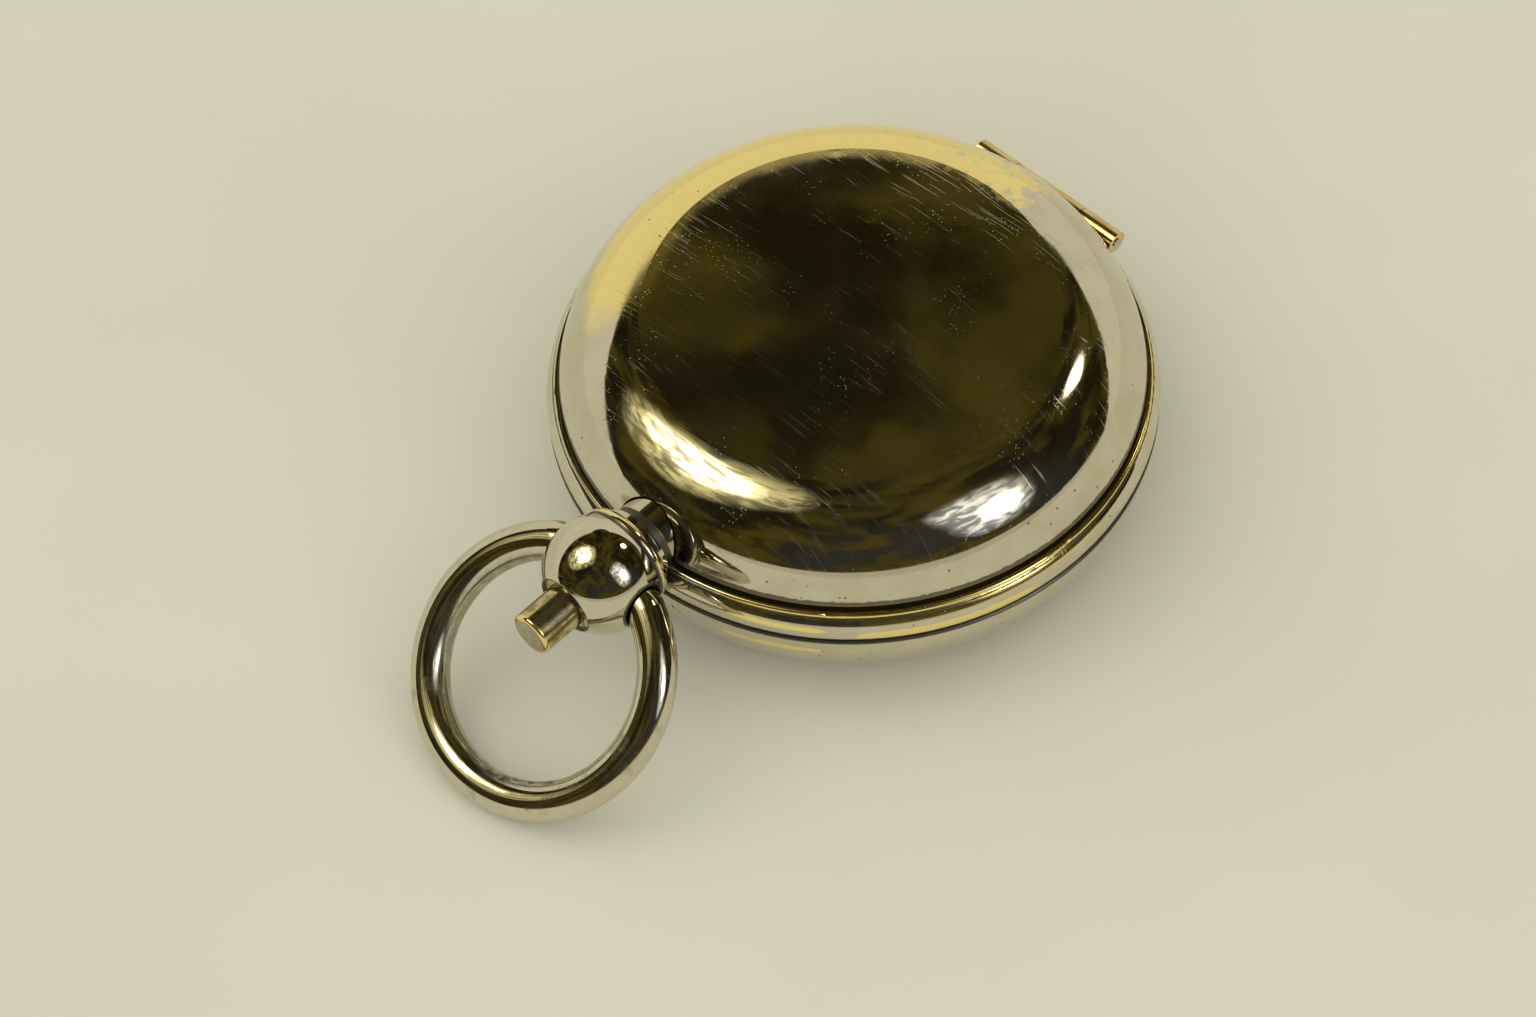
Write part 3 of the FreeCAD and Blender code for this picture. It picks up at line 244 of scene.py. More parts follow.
# Mirrored rays see the room itself, and the camera a pale backdrop. All others see an evened
# light, which is stronger from the front.
backdrop_colour = (0.645, 0.617, 0.44)
even_colour = (1.0, 1.0, 1.06)
even_share = 0.66
weakest_fill = 0.22
strongest_fill = 1.90
facing_front = along(tree, looking, direction_of(-62, 34))
fill = rising(tree, facing_front, -1.0, 1.0, weakest_fill, strongest_fill)
light_colour = mixed(tree, even_share, room_colour, scaled(tree, even_colour, fill))
ray = add_node(tree, "ShaderNodeLightPath")
mirrored = calculate(tree, "SUBTRACT", ray.outputs["Is Glossy Ray"],
                     ray.outputs["Is Transmission Ray"])
mirrored = calculate(tree, "MAXIMUM", mirrored, 0.0)
shown_colour = mixed(tree, mirrored, light_colour, room_colour)
surroundings = add_node(tree, "ShaderNodeBackground", Color=shown_colour)
backdrop = add_node(tree, "ShaderNodeBackground", Color=backdrop_colour)
seen = add_node(tree, "ShaderNodeMixShader")
tree.links.new(ray.outputs["Is Camera Ray"], seen.inputs[0])
tree.links.new(surroundings.outputs[0], seen.inputs[1])
tree.links.new(backdrop.outputs[0], seen.inputs[2])
add_node(tree, "ShaderNodeOutputWorld", Surface=seen.outputs[0])
bpy.context.scene.world = room


# The table
# A sheet of pale cream card. It isn't part of the compass: it carries its shadow and is
# what the lower half of the polished case reflects.
def noise(tree, place, size, detail=3, rough=0.55, distortion=0.0):
    made = add_node(tree, "ShaderNodeTexNoise", Vector=place, Scale=1 / size, Detail=detail,
                    Roughness=rough, Distortion=distortion)
    return made.outputs["Fac"]


def add_bump(tree, shader, height, strength, depth):
    bump = add_node(tree, "ShaderNodeBump", Height=height, Strength=strength, Distance=depth)
    tree.links.new(bump.outputs[0], shader.inputs["Normal"])


floor_reach = 6.0
card_colour = (0.592, 0.570, 0.415)
card_light_colour = (0.625, 0.604, 0.452)
cloud_size = 70 * mm
fibre_size = 0.35 * mm
fibre_depth = 0.02 * mm
floor_mesh = bpy.data.meshes.new("floor")
card_sheet = bmesh.new()
bmesh.ops.create_grid(card_sheet, x_segments=1, y_segments=1, size=floor_reach)
card_sheet.to_mesh(floor_mesh)
card_sheet.free()
floor = bpy.data.objects.new("floor", floor_mesh)
bpy.context.scene.collection.objects.link(floor)
card = bpy.data.materials.new("pale_card")
card.use_nodes = True
tree = card.node_tree
shader = tree.nodes["Principled BSDF"]
place = add_node(tree, "ShaderNodeTexCoord").outputs["Object"]
cloud = rising(tree, noise(tree, place, cloud_size), 0.3, 0.7)
tree.links.new(mixed(tree, cloud, card_colour, card_light_colour), shader.inputs["Base Color"])
shader.inputs["Roughness"].default_value = 0.9
shader.inputs["Specular IOR Level"].default_value = 0.1
fibres = noise(tree, place, fibre_size, detail=4)
add_bump(tree, shader, fibres, strength=0.25, depth=fibre_depth)
floor_mesh.materials.append(card)
floor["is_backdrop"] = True


# Back cover
# A pressed brass shell, nickel plated and polished, that snaps on to the foot of the band.
# Handling has scratched it and worn the plating through to the brass in spots.
def largest(tree, *values):
    return chained(tree, "MAXIMUM", values)


class Metal:
    """A metal finish under way: its node tree, and where each spot lies on the case.

    turn is in degrees round the case's axis, anticlockwise from +X. reach, level and ahead are
    the millimetres out from that axis, up from the table and towards the pendant."""

    def __init__(self, name):
        self.material = bpy.data.materials.new(name)
        self.material.use_nodes = True
        self.tree = self.material.node_tree
        self.shader = self.tree.nodes["Principled BSDF"]
        self.shader.inputs["Metallic"].default_value = 1.0
        self.place = add_node(self.tree, "ShaderNodeTexCoord").outputs["Object"]
        parts = add_node(self.tree, "ShaderNodeSeparateXYZ", Vector=self.place)
        self.x = parts.outputs["X"]
        self.y = parts.outputs["Y"]
        self.z = parts.outputs["Z"]
        flat = add_node(self.tree, "ShaderNodeCombineXYZ", X=self.x, Y=self.y)
        length = add_node(self.tree, "ShaderNodeVectorMath", {"operation": "LENGTH"})
        self.tree.links.new(flat.outputs[0], length.inputs[0])
        turn = calculate(self.tree, "ARCTAN2", self.y, self.x)
        self.turn = calculate(self.tree, "DEGREES", turn)
        self.reach = calculate(self.tree, "DIVIDE", length.outputs["Value"], mm)
        self.level = calculate(self.tree, "DIVIDE", self.z, mm)
        self.ahead = calculate(self.tree, "DIVIDE", self.y, -mm)

    def near_turn(self, middle, half, edge):
        offset = calculate(self.tree, "SUBTRACT", self.turn, middle)
        away = calculate(self.tree, "WRAP", offset, 180.0, -180.0)
        return rising(self.tree, calculate(self.tree, "ABSOLUTE", away), half + edge, half - edge)

    def between(self, value, low, high, edge):
        return product(self.tree, rising(self.tree, value, low - edge, low + edge),
                       rising(self.tree, value, high + edge, high - edge))

    def belt(self, low, high, edge):
        return self.between(self.level, low, high, edge)

    def near_point(self, point, radius, edge):
        away = add_node(self.tree, "ShaderNodeVectorMath", {"operation": "DISTANCE"})
        self.tree.links.new(self.place, away.inputs[0])
        away.inputs[1].default_value = Vector(point) * mm
        return rising(self.tree, away.outputs["Value"], (radius + edge) * mm, (radius - edge) * mm)

    def clouds(self, size, detail=3, rough=0.55, distortion=0.0):
        """Soft patches of a size in millimetres, from 0 to 1."""
        return noise(self.tree, self.place, size * mm, detail, rough, distortion)

    def waves(self, size, detail=3, rough=0.55, distortion=0.0):
        """The same patches to both sides of zero."""
        patches = self.clouds(size, detail, rough, distortion)
        return calculate(self.tree, "SUBTRACT", patches, 0.5)

    def ragged(self, mask, size, amount=0.9):
        """Breaks a mask up at its edges, as wear and dirt are."""
        broken = product(self.tree, self.waves(size, detail=5, rough=0.65), amount)
        return rising(self.tree, total(self.tree, mask, broken), 0.42, 0.58)

    def hairs(self, turn, length, width, share, seed):
        """Fine scratches of one direction: a thin spindle in each cell of a stretched grid."""
        bend_size = 9 * mm
        bend = 1.6 * mm
        bent = add_node(self.tree, "ShaderNodeTexNoise", Vector=self.place, Scale=1 / bend_size,
                        Detail=1)
        shifted = add_node(self.tree, "ShaderNodeVectorMath", {"operation": "MULTIPLY_ADD"})
        self.tree.links.new(bent.outputs["Color"], shifted.inputs[0])
        shifted.inputs[1].default_value = (bend, bend, 0)
        self.tree.links.new(self.place, shifted.inputs[2])
        turned = add_node(self.tree, "ShaderNodeMapping", Vector=shifted.outputs[0])
        turned.inputs["Location"].default_value = (seed, seed * 0.7, seed * 0.3)
        turned.inputs["Rotation"].default_value = (0, 0, math.radians(turn))
        cell = (1 / (length * mm), 1 / (width * mm), 1 / (length * mm))
        turned.inputs["Scale"].default_value = cell
        cells = add_node(self.tree, "ShaderNodeTexVoronoi", Vector=turned.outputs[0], Scale=1.0)
        return rising(self.tree, cells.outputs["Distance"], share, share * 0.4)

    def dots(self, spacing, share, seed=0.0):
        """Round spots, one in each cell, as large as share of the spacing."""
        moved = add_node(self.tree, "ShaderNodeMapping", Vector=self.place)
        moved.inputs["Location"].default_value = (seed, seed, seed)
        cells = add_node(self.tree, "ShaderNodeTexVoronoi", Vector=moved.outputs[0],
                         Scale=1 / (spacing * mm))
        return rising(self.tree, cells.outputs["Distance"], share, share * 0.5)

    def close(self, colour, rough, height, depth=0.006):
        set_socket(self.tree, self.shader.inputs["Base Color"], colour)
        set_socket(self.tree, self.shader.inputs["Roughness"], rough)
        add_bump(self.tree, self.shader, height, strength=0.35, depth=depth * mm)
        return self.material


nickel_colour = (0.67, 0.62, 0.50)
tired_nickel_colour = (0.61, 0.55, 0.41)
worn_brass_colour = (0.95, 0.78, 0.32)
# Old polish and dirt, also used as painted shade in seams and grooves.
shade_and_grime_colour = (0.045, 0.036, 0.018)
# The scratches' directions in degrees, their length and width in millimetres, and how much of
# each cell they fill.
hair_kinds = (dict(turn=12, length=11.0, width=0.20, share=0.18),
              dict(turn=-58, length=15.0, width=0.22, share=0.17),
              dict(turn=75, length=10.0, width=0.20, share=0.18),
              dict(turn=-25, length=6.0, width=0.18, share=0.17),
              dict(turn=44, length=26.0, width=0.50, share=0.10))


def plated(name, worn=None, shade_and_grime=None, fleck_wear=0.78, haze=0.055, hair_depth=1.0, extra=None):
    """Polished nickel over brass, with scratches, pits and flecks worn through.

    worn, grimy and extra make the piece's own wear, its dirt and painted shade, and its relief from
    the metal under way."""
    metal = Metal(name)
    tree = metal.tree
    stain = metal.clouds(3.4, detail=4, rough=0.6)
    region = metal.clouds(14, detail=2)
    fleck = metal.clouds(1.5, detail=6, rough=0.7)
    fleck = total(tree, fleck, rising(tree, region, 0.45, 0.75, -0.06, 0.07))
    bare = rising(tree, fleck, fleck_wear, fleck_wear + 0.03)
    if worn:
        bare = largest(tree, bare, worn(metal))
    pits = product(tree, metal.dots(1.15, share=0.10), rising(tree, region, 0.46, 0.6))
    shade_and_dirt = product(tree, pits, 0.85)
    if shade_and_grime:
        shade_and_dirt = largest(tree, shade_and_dirt, shade_and_grime(metal))
    colour = mixed(tree, rising(tree, stain, 0.35, 0.72), nickel_colour, tired_nickel_colour)
    colour = mixed(tree, bare, colour, worn_brass_colour)
    # Darkens pits and dirt, and on the band, back and pendant painted shade in seams and grooves.
    colour = mixed(tree, shade_and_dirt, colour, shade_and_grime_colour)

    rubbed = rising(tree, metal.clouds(7, detail=4, rough=0.6), 0.36, 0.60, 0.15, 1.0)
    nicked = rising(tree, metal.clouds(3, detail=4, rough=0.6), 0.46, 0.60)
    scratches = [metal.hairs(seed=number * 0.37, **kind) for number, kind in enumerate(hair_kinds)]
    lines = product(tree, largest(tree, *scratches), rubbed)
    specks = product(tree, metal.dots(0.38, share=0.22, seed=2.2), rubbed, nicked)
    rough = total(tree, rising(tree, stain, 0.3, 0.8, haze * 0.6, haze * 1.7),
                  product(tree, lines, 0.17 * hair_depth), product(tree, specks, 0.28 * hair_depth),
                  product(tree, bare, 0.06), product(tree, shade_and_dirt, 0.4))
    height = total(tree, product(tree, lines, -0.5 * hair_depth), product(tree, shade_and_dirt, -0.9),
                   product(tree, metal.clouds(0.35), 0.25))
    if extra:
        height = total(tree, height, extra(metal))
    return metal.close(colour, rough, height)


def finish(material, *nodes):
    for node in nodes:
        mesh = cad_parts[node].data
        mesh.materials.clear()
        mesh.materials.append(material)


seam_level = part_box("back_cover")[1].z / mm


def back_wear(metal):
    front = product(metal.tree, metal.near_turn(-62, half=10, edge=6),
                    metal.belt(seam_level - 1.75, seam_level - 1.1, edge=0.3))
    foot = metal.belt(-0.5, 0.35, edge=0.25)
    return metal.ragged(largest(metal.tree, front, foot), 1.1, amount=0.7)


def back_grime(metal):
    """A short crack that leans and wanders down the front edge, and painted shade along the seam."""
    tree = metal.tree
    crack_turn = -80.5
    crack_wander = 3.6
    crack_lean = 2.2
    upright_level = seam_level - 1.9
    wander = product(tree, metal.waves(0.8), crack_wander)
    lean = product(tree, calculate(tree, "SUBTRACT", metal.level, upright_level), crack_lean)
    drift = total(tree, metal.turn, -crack_turn, wander, lean)
    line = rising(tree, calculate(tree, "ABSOLUTE", drift), 0.22, 0.08)
    crack = product(tree, line, metal.belt(seam_level - 2.7, seam_level - 1.2, edge=0.1))
    # Painted shade: the back's edge along the seam is darkened.
    seam_shade = metal.belt(seam_level - 0.28, seam_level + 0.5, edge=0.12)
    return largest(tree, crack, product(tree, metal.ragged(seam_shade, 0.6, amount=0.6), 0.85))


finish(plated("back_plate", back_wear, back_grime, fleck_wear=0.76), "back_cover")

# Band
# The turned brass middle of the case, plated like the shells. Its bead and the crowned wall
# under it are rubbed to the brass, and painted shade darkens the seams above and below.
bead_mm = bead_level / mm
ledge_reach = 22.15
neck_root = (0, -23.0, 11.5)


def band_wear(metal):
    tree = metal.tree
    bead = product(tree, metal.belt(bead_mm - 0.5, bead_mm + 0.5, edge=0.10),
                   rising(tree, metal.reach, ledge_reach - 0.15, ledge_reach + 0.15),
                   metal.near_turn(-10, half=62, edge=8))
    under_bead = product(tree, metal.belt(bead_mm - 0.85, bead_mm - 0.4, edge=0.15),
                         metal.near_turn(-20, half=25, edge=9))
    low_front = product(tree, metal.belt(seam_level + 0.35, seam_level + 1.15, edge=0.3),
                        metal.near_turn(-29, half=17, edge=8))
    low_left = product(tree, metal.belt(seam_level + 1.0, seam_level + 1.45, edge=0.25),
                       metal.near_turn(-61, half=9, edge=5))
    low_back = product(tree, metal.belt(seam_level + 0.3, seam_level + 0.9, edge=0.3),
                       metal.near_turn(150, half=40, edge=20))
    mask = largest(tree, bead, under_bead, low_front, low_left, low_back)
    return metal.ragged(mask, 1.6, amount=0.55)


def band_grime(metal):
    tree = metal.tree
    # Painted shade: the seam to the back, the ledge under the lid's edge and the fine line under the
    # bead are darkened. The solder round the pendant's foot is a real dark joint.
    seam_shade = metal.belt(seam_level - 0.5, seam_level + 0.22, edge=0.10)
    ledge_shade = product(tree, metal.belt(bead_mm - 0.6, bead_mm + 0.1, edge=0.1),
                    rising(tree, metal.reach, ledge_reach + 0.07, ledge_reach - 0.07))
    under_bead = product(tree, metal.belt(bead_mm - 0.50, bead_mm - 0.40, edge=0.04), 0.7)
    lines = metal.ragged(largest(tree, seam_shade, ledge_shade, under_bead), 0.5, amount=0.8)
    solder = metal.ragged(metal.near_point(neck_root, radius=3.6, edge=0.5), 0.7)
    return largest(tree, product(tree, lines, 0.92), product(tree, solder, 0.45))


finish(plated("band_plate", band_wear, band_grime, fleck_wear=0.72), "case_band")

# Pendant
# One turned piece: the neck that is soldered in the band, its collars, and the drilled ball.
# Painted shade darkens the steps of the neck, the groove behind the ball and the rims of its holes.
ball_middle = Vector((0, -26.4, bead_mm + 1.15))
ball_radius = 4.47


def pendant_grime(metal):
    # Painted shade: the neck's steps, the groove behind the ball and the rims of its holes are
    # darkened.
    foot = metal.between(metal.ahead, 22.0, 22.7, edge=0.15)
    flare = metal.between(metal.ahead, 23.3, 23.55, edge=0.08)
    groove_shade = metal.between(metal.ahead, 24.15, 24.5, edge=0.1)
    left_hole = ball_middle - Vector((ball_radius, 0, 0))
    right_hole = ball_middle + Vector((ball_radius, 0, 0))
    mouth = ball_middle - Vector((0, ball_radius, 0))
    mask = largest(metal.tree, foot, flare, groove_shade,
                   metal.near_point(left_hole, radius=2.0, edge=0.25),
                   metal.near_point(right_hole, radius=2.0, edge=0.25),
                   metal.near_point(mouth, radius=2.5, edge=0.2))
    return product(metal.tree, metal.ragged(mask, 0.6, amount=0.7), 0.85)


def pendant_wear(metal):
    collar = metal.between(metal.ahead, 23.75, 24.05, edge=0.1)
    return metal.ragged(product(metal.tree, collar, 0.8), 1.2)


finish(plated("pendant_plate", pendant_wear, pendant_grime, fleck_wear=0.80), "pendant")

# Bow
# A ring of round nickel-plated wire whose bent ends turn in the sides of the ball. Its inner
# side, where the thumb doesn't rub, is dark with old polish.
ring_middle = Vector((0, -33.10, 7.375))
ring_radius = 9.5


def bow_grime(metal):
    """A crust along the inner side, thickest to the front right, and a thin film in patches."""
    tree = metal.tree
    inner = metal.near_point(ring_middle, ring_radius - 0.95, edge=0.28)
    thick_way = direction_of(-60, 0)
    offset = calculate(tree, "SUBTRACT", along(tree, metal.place, thick_way),
                       ring_middle.dot(thick_way) * mm)
    thick = rising(tree, offset, 0.60 * ring_radius * mm, 0.74 * ring_radius * mm, 0.4, 1.0)
    streak = rising(tree, metal.clouds(1.4, detail=5, rough=0.7), 0.40, 0.62)
    crust = product(tree, inner, thick, total(tree, product(tree, streak, 0.7), 0.3))
    film = rising(tree, metal.clouds(2.6, detail=4, rough=0.65), 0.56, 0.70)
    return largest(tree, crust, product(tree, film, 0.28))


finish(plated("bow_plate", None, bow_grime, fleck_wear=0.83, haze=0.07, hair_depth=0.4), "bow")

# Lid
# A domed brass shell with a deep rounded shoulder, plated, then polished by years in a
# pocket: its left and far shoulder is rubbed through, and the dome is bruised and scratched.
lid_low, lid_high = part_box("lid")
crown_mm = lid_high.z / mm
lid_foot_mm = lid_low.z / mm


def lid_wear(metal):
    tree = metal.tree
    shoulder = metal.between(metal.reach, 14.6, 20.3, edge=1.3)
    cloud = metal.waves(3.0, detail=5, rough=0.7)
    arc = product(tree, shoulder, metal.near_turn(163, half=60, edge=16))
    arc = rising(tree, total(tree, arc, product(tree, cloud, 0.7)), 0.25, 0.85)
    faint = product(tree, shoulder, metal.near_turn(95, half=18, edge=12), 0.6)
    rubbed_spots = largest(tree, metal.near_point((4.5, 12.7, crown_mm), radius=2.2, edge=1.6),
                           metal.near_point((4.4, 7.6, crown_mm), radius=2.0, edge=1.6),
                           metal.near_point((16.5, 1.0, crown_mm - 2), radius=3.0, edge=2.0))
    flecks = product(tree, rubbed_spots, metal.dots(0.55, share=0.26, seed=3.1))
    edge = product(tree, metal.belt(lid_foot_mm - 0.5, lid_foot_mm + 0.12, edge=0.06), 0.9)
    return largest(tree, arc, metal.ragged(faint, 1.2, amount=1.1), flecks, metal.ragged(edge, 1.5))


def lid_grime(metal):
    tree = metal.tree
    foot = product(tree, metal.belt(lid_foot_mm - 0.2, lid_foot_mm + 0.5, edge=0.25), 0.75)
    low = rising(tree, metal.level, lid_foot_mm + 4.5, lid_foot_mm + 3.0)
    spots = product(tree, metal.dots(1.5, share=0.085, seed=7.7), low)
    return product(tree, largest(tree, metal.ragged(foot, 0.45, amount=1.0), spots), 0.8)


def lid_bruises(metal):
    """Dents, the slow waves of a hand-worked shell, and the bright nicks on its dome."""
    tree = metal.tree
    wave = product(tree, metal.waves(8.0, detail=2, rough=0.45, distortion=0.4), 26.0,
                   rising(tree, metal.reach, 15.4, 12.0))
    far_dent = metal.near_point((-11.3, 10.5, crown_mm - 0.9), radius=0.1, edge=0.9)
    front_dent = metal.near_point((-5.5, -14.9, crown_mm - 1.4), radius=0.1, edge=1.2)
    upper = rising(tree, metal.level, crown_mm - 3.2, crown_mm - 1.2)
    nicked = rising(tree, metal.clouds(6, detail=2), 0.48, 0.62)
    nicks = product(tree, metal.dots(0.62, share=0.09, seed=1.3), upper, nicked)
    return total(tree, wave, product(tree, far_dent, -7.0), product(tree, front_dent, -8.0),
                 product(tree, nicks, -2.2))


finish(plated("lid_plate", lid_wear, lid_grime, fleck_wear=0.79, haze=0.06, hair_depth=1.1,
              extra=lid_bruises), "lid")


# Push piece and its sleeve
# A brass button on a stem. It was plated, and fingers have worn its edge bright; its flat
# end has gone grey.
def push_finish(name):
    metal = Metal(name)
    tree = metal.tree
    side_light_colour = (0.62, 0.52, 0.27)
    side_dark_colour = (0.30, 0.23, 0.09)
    rubbed_colour = (0.90, 0.72, 0.32)
    end_light_colour = (0.62, 0.57, 0.43)
    end_dark_colour = (0.50, 0.45, 0.32)
    low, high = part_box("push_piece")
    end = -low.y / mm
    radius = (high.z - low.z) / 2 / mm
    across = add_node(tree, "ShaderNodeCombineXYZ", X=metal.x, Z=metal.z)
    away = add_node(tree, "ShaderNodeVectorMath", {"operation": "DISTANCE"})
    tree.links.new(across.outputs[0], away.inputs[0])
    away.inputs[1].default_value = (0, 0, (low.z + high.z) / 2)
    offset = calculate(tree, "DIVIDE", away.outputs["Value"], mm)
    face = product(tree, rising(tree, metal.ahead, end - 0.06, end - 0.02),
                   rising(tree, offset, radius - 0.35, radius - 0.5))
    edge = product(tree, rising(tree, metal.ahead, end - 0.45, end - 0.2),
                   rising(tree, offset, 1.1, 1.3))
    stain = metal.clouds(0.9, detail=5, rough=0.65)
    side = mixed(tree, rising(tree, stain, 0.38, 0.66), side_light_colour, side_dark_colour)
    colour = mixed(tree, metal.ragged(edge, 0.5, amount=0.6), side, rubbed_colour)
    dull = mixed(tree, rising(tree, stain, 0.4, 0.6), end_light_colour, end_dark_colour)
    colour = mixed(tree, face, colour, dull)
    rough = total(tree, rising(tree, stain, 0.3, 0.7, 0.12, 0.30), product(tree, face, 0.25))
    scratches = metal.hairs(80, length=1.2, width=0.12, share=0.16, seed=0.2)
    height = total(tree, product(tree, metal.clouds(0.2), 0.8), product(tree, scratches, -0.6))
    return metal.close(colour, rough, height)


finish(push_finish("push_brass"), "push_piece", "pendant_sleeve")


# Brass works
# Turned and filed brass: the bezel, the bowl, the hinge and the fittings. It was lacquered
# once and has toned unevenly, with turning marks left on it.
def works_metal(name, light, dark, rough, turned_step=0.0):
    """A toned metal. turned_step is the distance of its turning marks, where it has any."""
    metal = Metal(name)
    tree = metal.tree
    stain = metal.clouds(2.2, detail=4, rough=0.6)
    colour = mixed(tree, rising(tree, stain, 0.35, 0.7), light, dark)
    spot = product(tree, metal.dots(1.3, share=0.12), rising(tree, stain, 0.5, 0.62), 0.6)
    colour = mixed(tree, spot, colour, tuple(value * 0.3 for value in dark))
    height = product(tree, metal.clouds(0.3), 0.5)
    if turned_step:
        marks = calculate(tree, "SINE", product(tree, metal.reach, 2 * math.pi / turned_step))
        height = total(tree, height, product(tree, marks, 0.25))
    scratches = metal.hairs(30, length=2.4, width=0.2, share=0.12, seed=0.5)
    height = total(tree, height, product(tree, scratches, -0.6))
    return metal.close(colour, rising(tree, stain, 0.3, 0.8, rough * 0.7, rough * 1.4), height,
                       depth=0.004)


brass_works = works_metal("brass_works", light=(0.83, 0.64, 0.27), dark=(0.66, 0.46, 0.17),
                          rough=0.20, turned_step=0.11)
finish(brass_works, "bezel", "compass_bowl", "lid_rim", "band_knuckles", "lid_knuckle", "needle_hub",
       "balance_slider", "lifting_sleeve", "pivot_post", "post_nut", "dial_pillars", "lever_bracket",
       "stem_collar", "latch_screw")

# Steel works
# Springs, screws, pins and the arrest's lever: polished steel, lightly oiled, with a fine
# grain and a few scratches.
steel_works = works_metal("steel_works", light=(0.56, 0.55, 0.53), dark=(0.40, 0.38, 0.35), rough=0.24)
finish(steel_works, "crystal_ring", "arrest_lever", "arrest_plunger", "dial_screws", "hinge_pin",
       "latch_plate", "leaf_screw", "lever_pin", "lever_spring", "lift_spring", "lift_spring_screw",
       "pivot_pin", "push_spring")


# Needle
# A slim steel lozenge: its north half is blued over heat, its south half is left bright. It
# turns on an agate cup that is pressed in the brass hub.
def needle_finish():
    metal = Metal("needle_steel")
    tree = metal.tree
    stain = metal.clouds(1.6)
    tone = rising(tree, stain, 0.35, 0.65)
    blue = mixed(tree, tone, (0.015, 0.035, 0.20), (0.03, 0.03, 0.12))
    bright = mixed(tree, tone, (0.62, 0.61, 0.58), (0.50, 0.48, 0.45))
    north = rising(tree, metal.y, 1.2 * mm, 1.6 * mm)
    scratches = metal.hairs(84, length=2.0, width=0.12, share=0.14, seed=0.9)
    return metal.close(mixed(tree, north, bright, blue), rising(tree, stain, 0.3, 0.7, 0.16, 0.26),
                       product(tree, scratches, -0.6), depth=0.003)


finish(needle_finish(), "needle")
agate = bpy.data.materials.new("agate")
agate.use_nodes = True
tree = agate.node_tree
shader = tree.nodes["Principled BSDF"]
place = add_node(tree, "ShaderNodeTexCoord").outputs["Object"]
layer = noise(tree, place, 0.4 * mm, detail=3, rough=0.5, distortion=1.5)
tree.links.new(mixed(tree, rising(tree, layer, 0.35, 0.65), (0.42, 0.10, 0.05), (0.62, 0.36, 0.24)),
               shader.inputs["Base Color"])
shader.inputs["Roughness"].default_value = 0.12
finish(agate, "needle_jewel")


# Dial
# A round plate, silvered white, printed with a rose of eight points and the letters of the
# quarters. A raised silvered ring round it carries the degrees, filled with black wax.
def painted(name, light, dark, size, rough, metallic=0.0):
    made = bpy.data.materials.new(name)
    made.use_nodes = True
    tree = made.node_tree
    shader = tree.nodes["Principled BSDF"]
    place = add_node(tree, "ShaderNodeTexCoord").outputs["Object"]
    tone = noise(tree, place, size, detail=4, rough=0.6)
    colour = mixed(tree, rising(tree, tone, 0.35, 0.70), light, dark)
    tree.links.new(colour, shader.inputs["Base Color"])
    tree.links.new(rising(tree, tone, 0.3, 0.7, rough * 0.8, rough * 1.2), shader.inputs["Roughness"])
    shader.inputs["Metallic"].default_value = metallic
    add_bump(tree, shader, noise(tree, place, size / 12), strength=0.2, depth=0.005 * mm)
    return made


dial_card = painted("dial_card", light=(0.80, 0.77, 0.68), dark=(0.70, 0.65, 0.52), size=5 * mm,
                    rough=0.42)
ring_silver = painted("ring_silver", light=(0.80, 0.78, 0.72), dark=(0.66, 0.62, 0.52), size=4 * mm,
                      rough=0.32, metallic=1.0)
ink = painted("black_wax", light=(0.025, 0.022, 0.020), dark=(0.05, 0.045, 0.04), size=1 * mm,
              rough=0.35)
blue_ink = painted("blue_print", light=(0.03, 0.06, 0.20), dark=(0.05, 0.08, 0.22), size=1 * mm,
                   rough=0.4)
finish(dial_card, "dial_plate")
finish(ring_silver, "degree_ring")


def new_tree(name, sockets):
    tree = bpy.data.node_groups.new(name, "GeometryNodeTree")
    tree.interface.new_socket("Geometry", in_out="OUTPUT", socket_type="NodeSocketGeometry")
    for label, kind in sockets:
        tree.interface.new_socket(label, in_out="INPUT", socket_type="NodeSocket" + kind)
    return tree, tree.nodes.new("NodeGroupInput"), tree.nodes.new("NodeGroupOutput")


def grown(name, mesh, tree, values):
    """Runs a tree on a mesh and keeps the result as a plain mesh on the case."""
    piece = bpy.data.objects.new(name, mesh)
    bpy.context.scene.collection.objects.link(piece)
    modifier = piece.modifiers.new("grow", "NODES")
    modifier.node_group = tree
    for socket in tree.interface.items_tree:
        if socket.in_out == "INPUT" and socket.name in values:
            modifier[socket.identifier] = values[socket.name]
    evaluated = piece.evaluated_get(bpy.context.evaluated_depsgraph_get())
    plain = bpy.data.meshes.new_from_object(evaluated)
    for slot in reversed(range(len(plain.materials))):
        if plain.materials[slot] is None:
            plain.materials.pop(index=slot)
    piece.modifiers.remove(modifier)
    piece.data = plain
    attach(piece, "case")


def prism(name, outline, low, high):
    """A flat shape with a thickness, from the corners of its outline, anticlockwise."""
    count = len(outline)
    points = [(x, y, low) for x, y in outline] + [(x, y, high) for x, y in outline]
    faces = [tuple(reversed(range(count))), tuple(range(count, 2 * count))]
    for corner in range(count):
        after = (corner + 1) % count
        faces.append((corner, after, count + after, count + corner))
    mesh = bpy.data.meshes.new(name)
    mesh.from_pydata(points, [], faces)
    mesh.update()
    return mesh


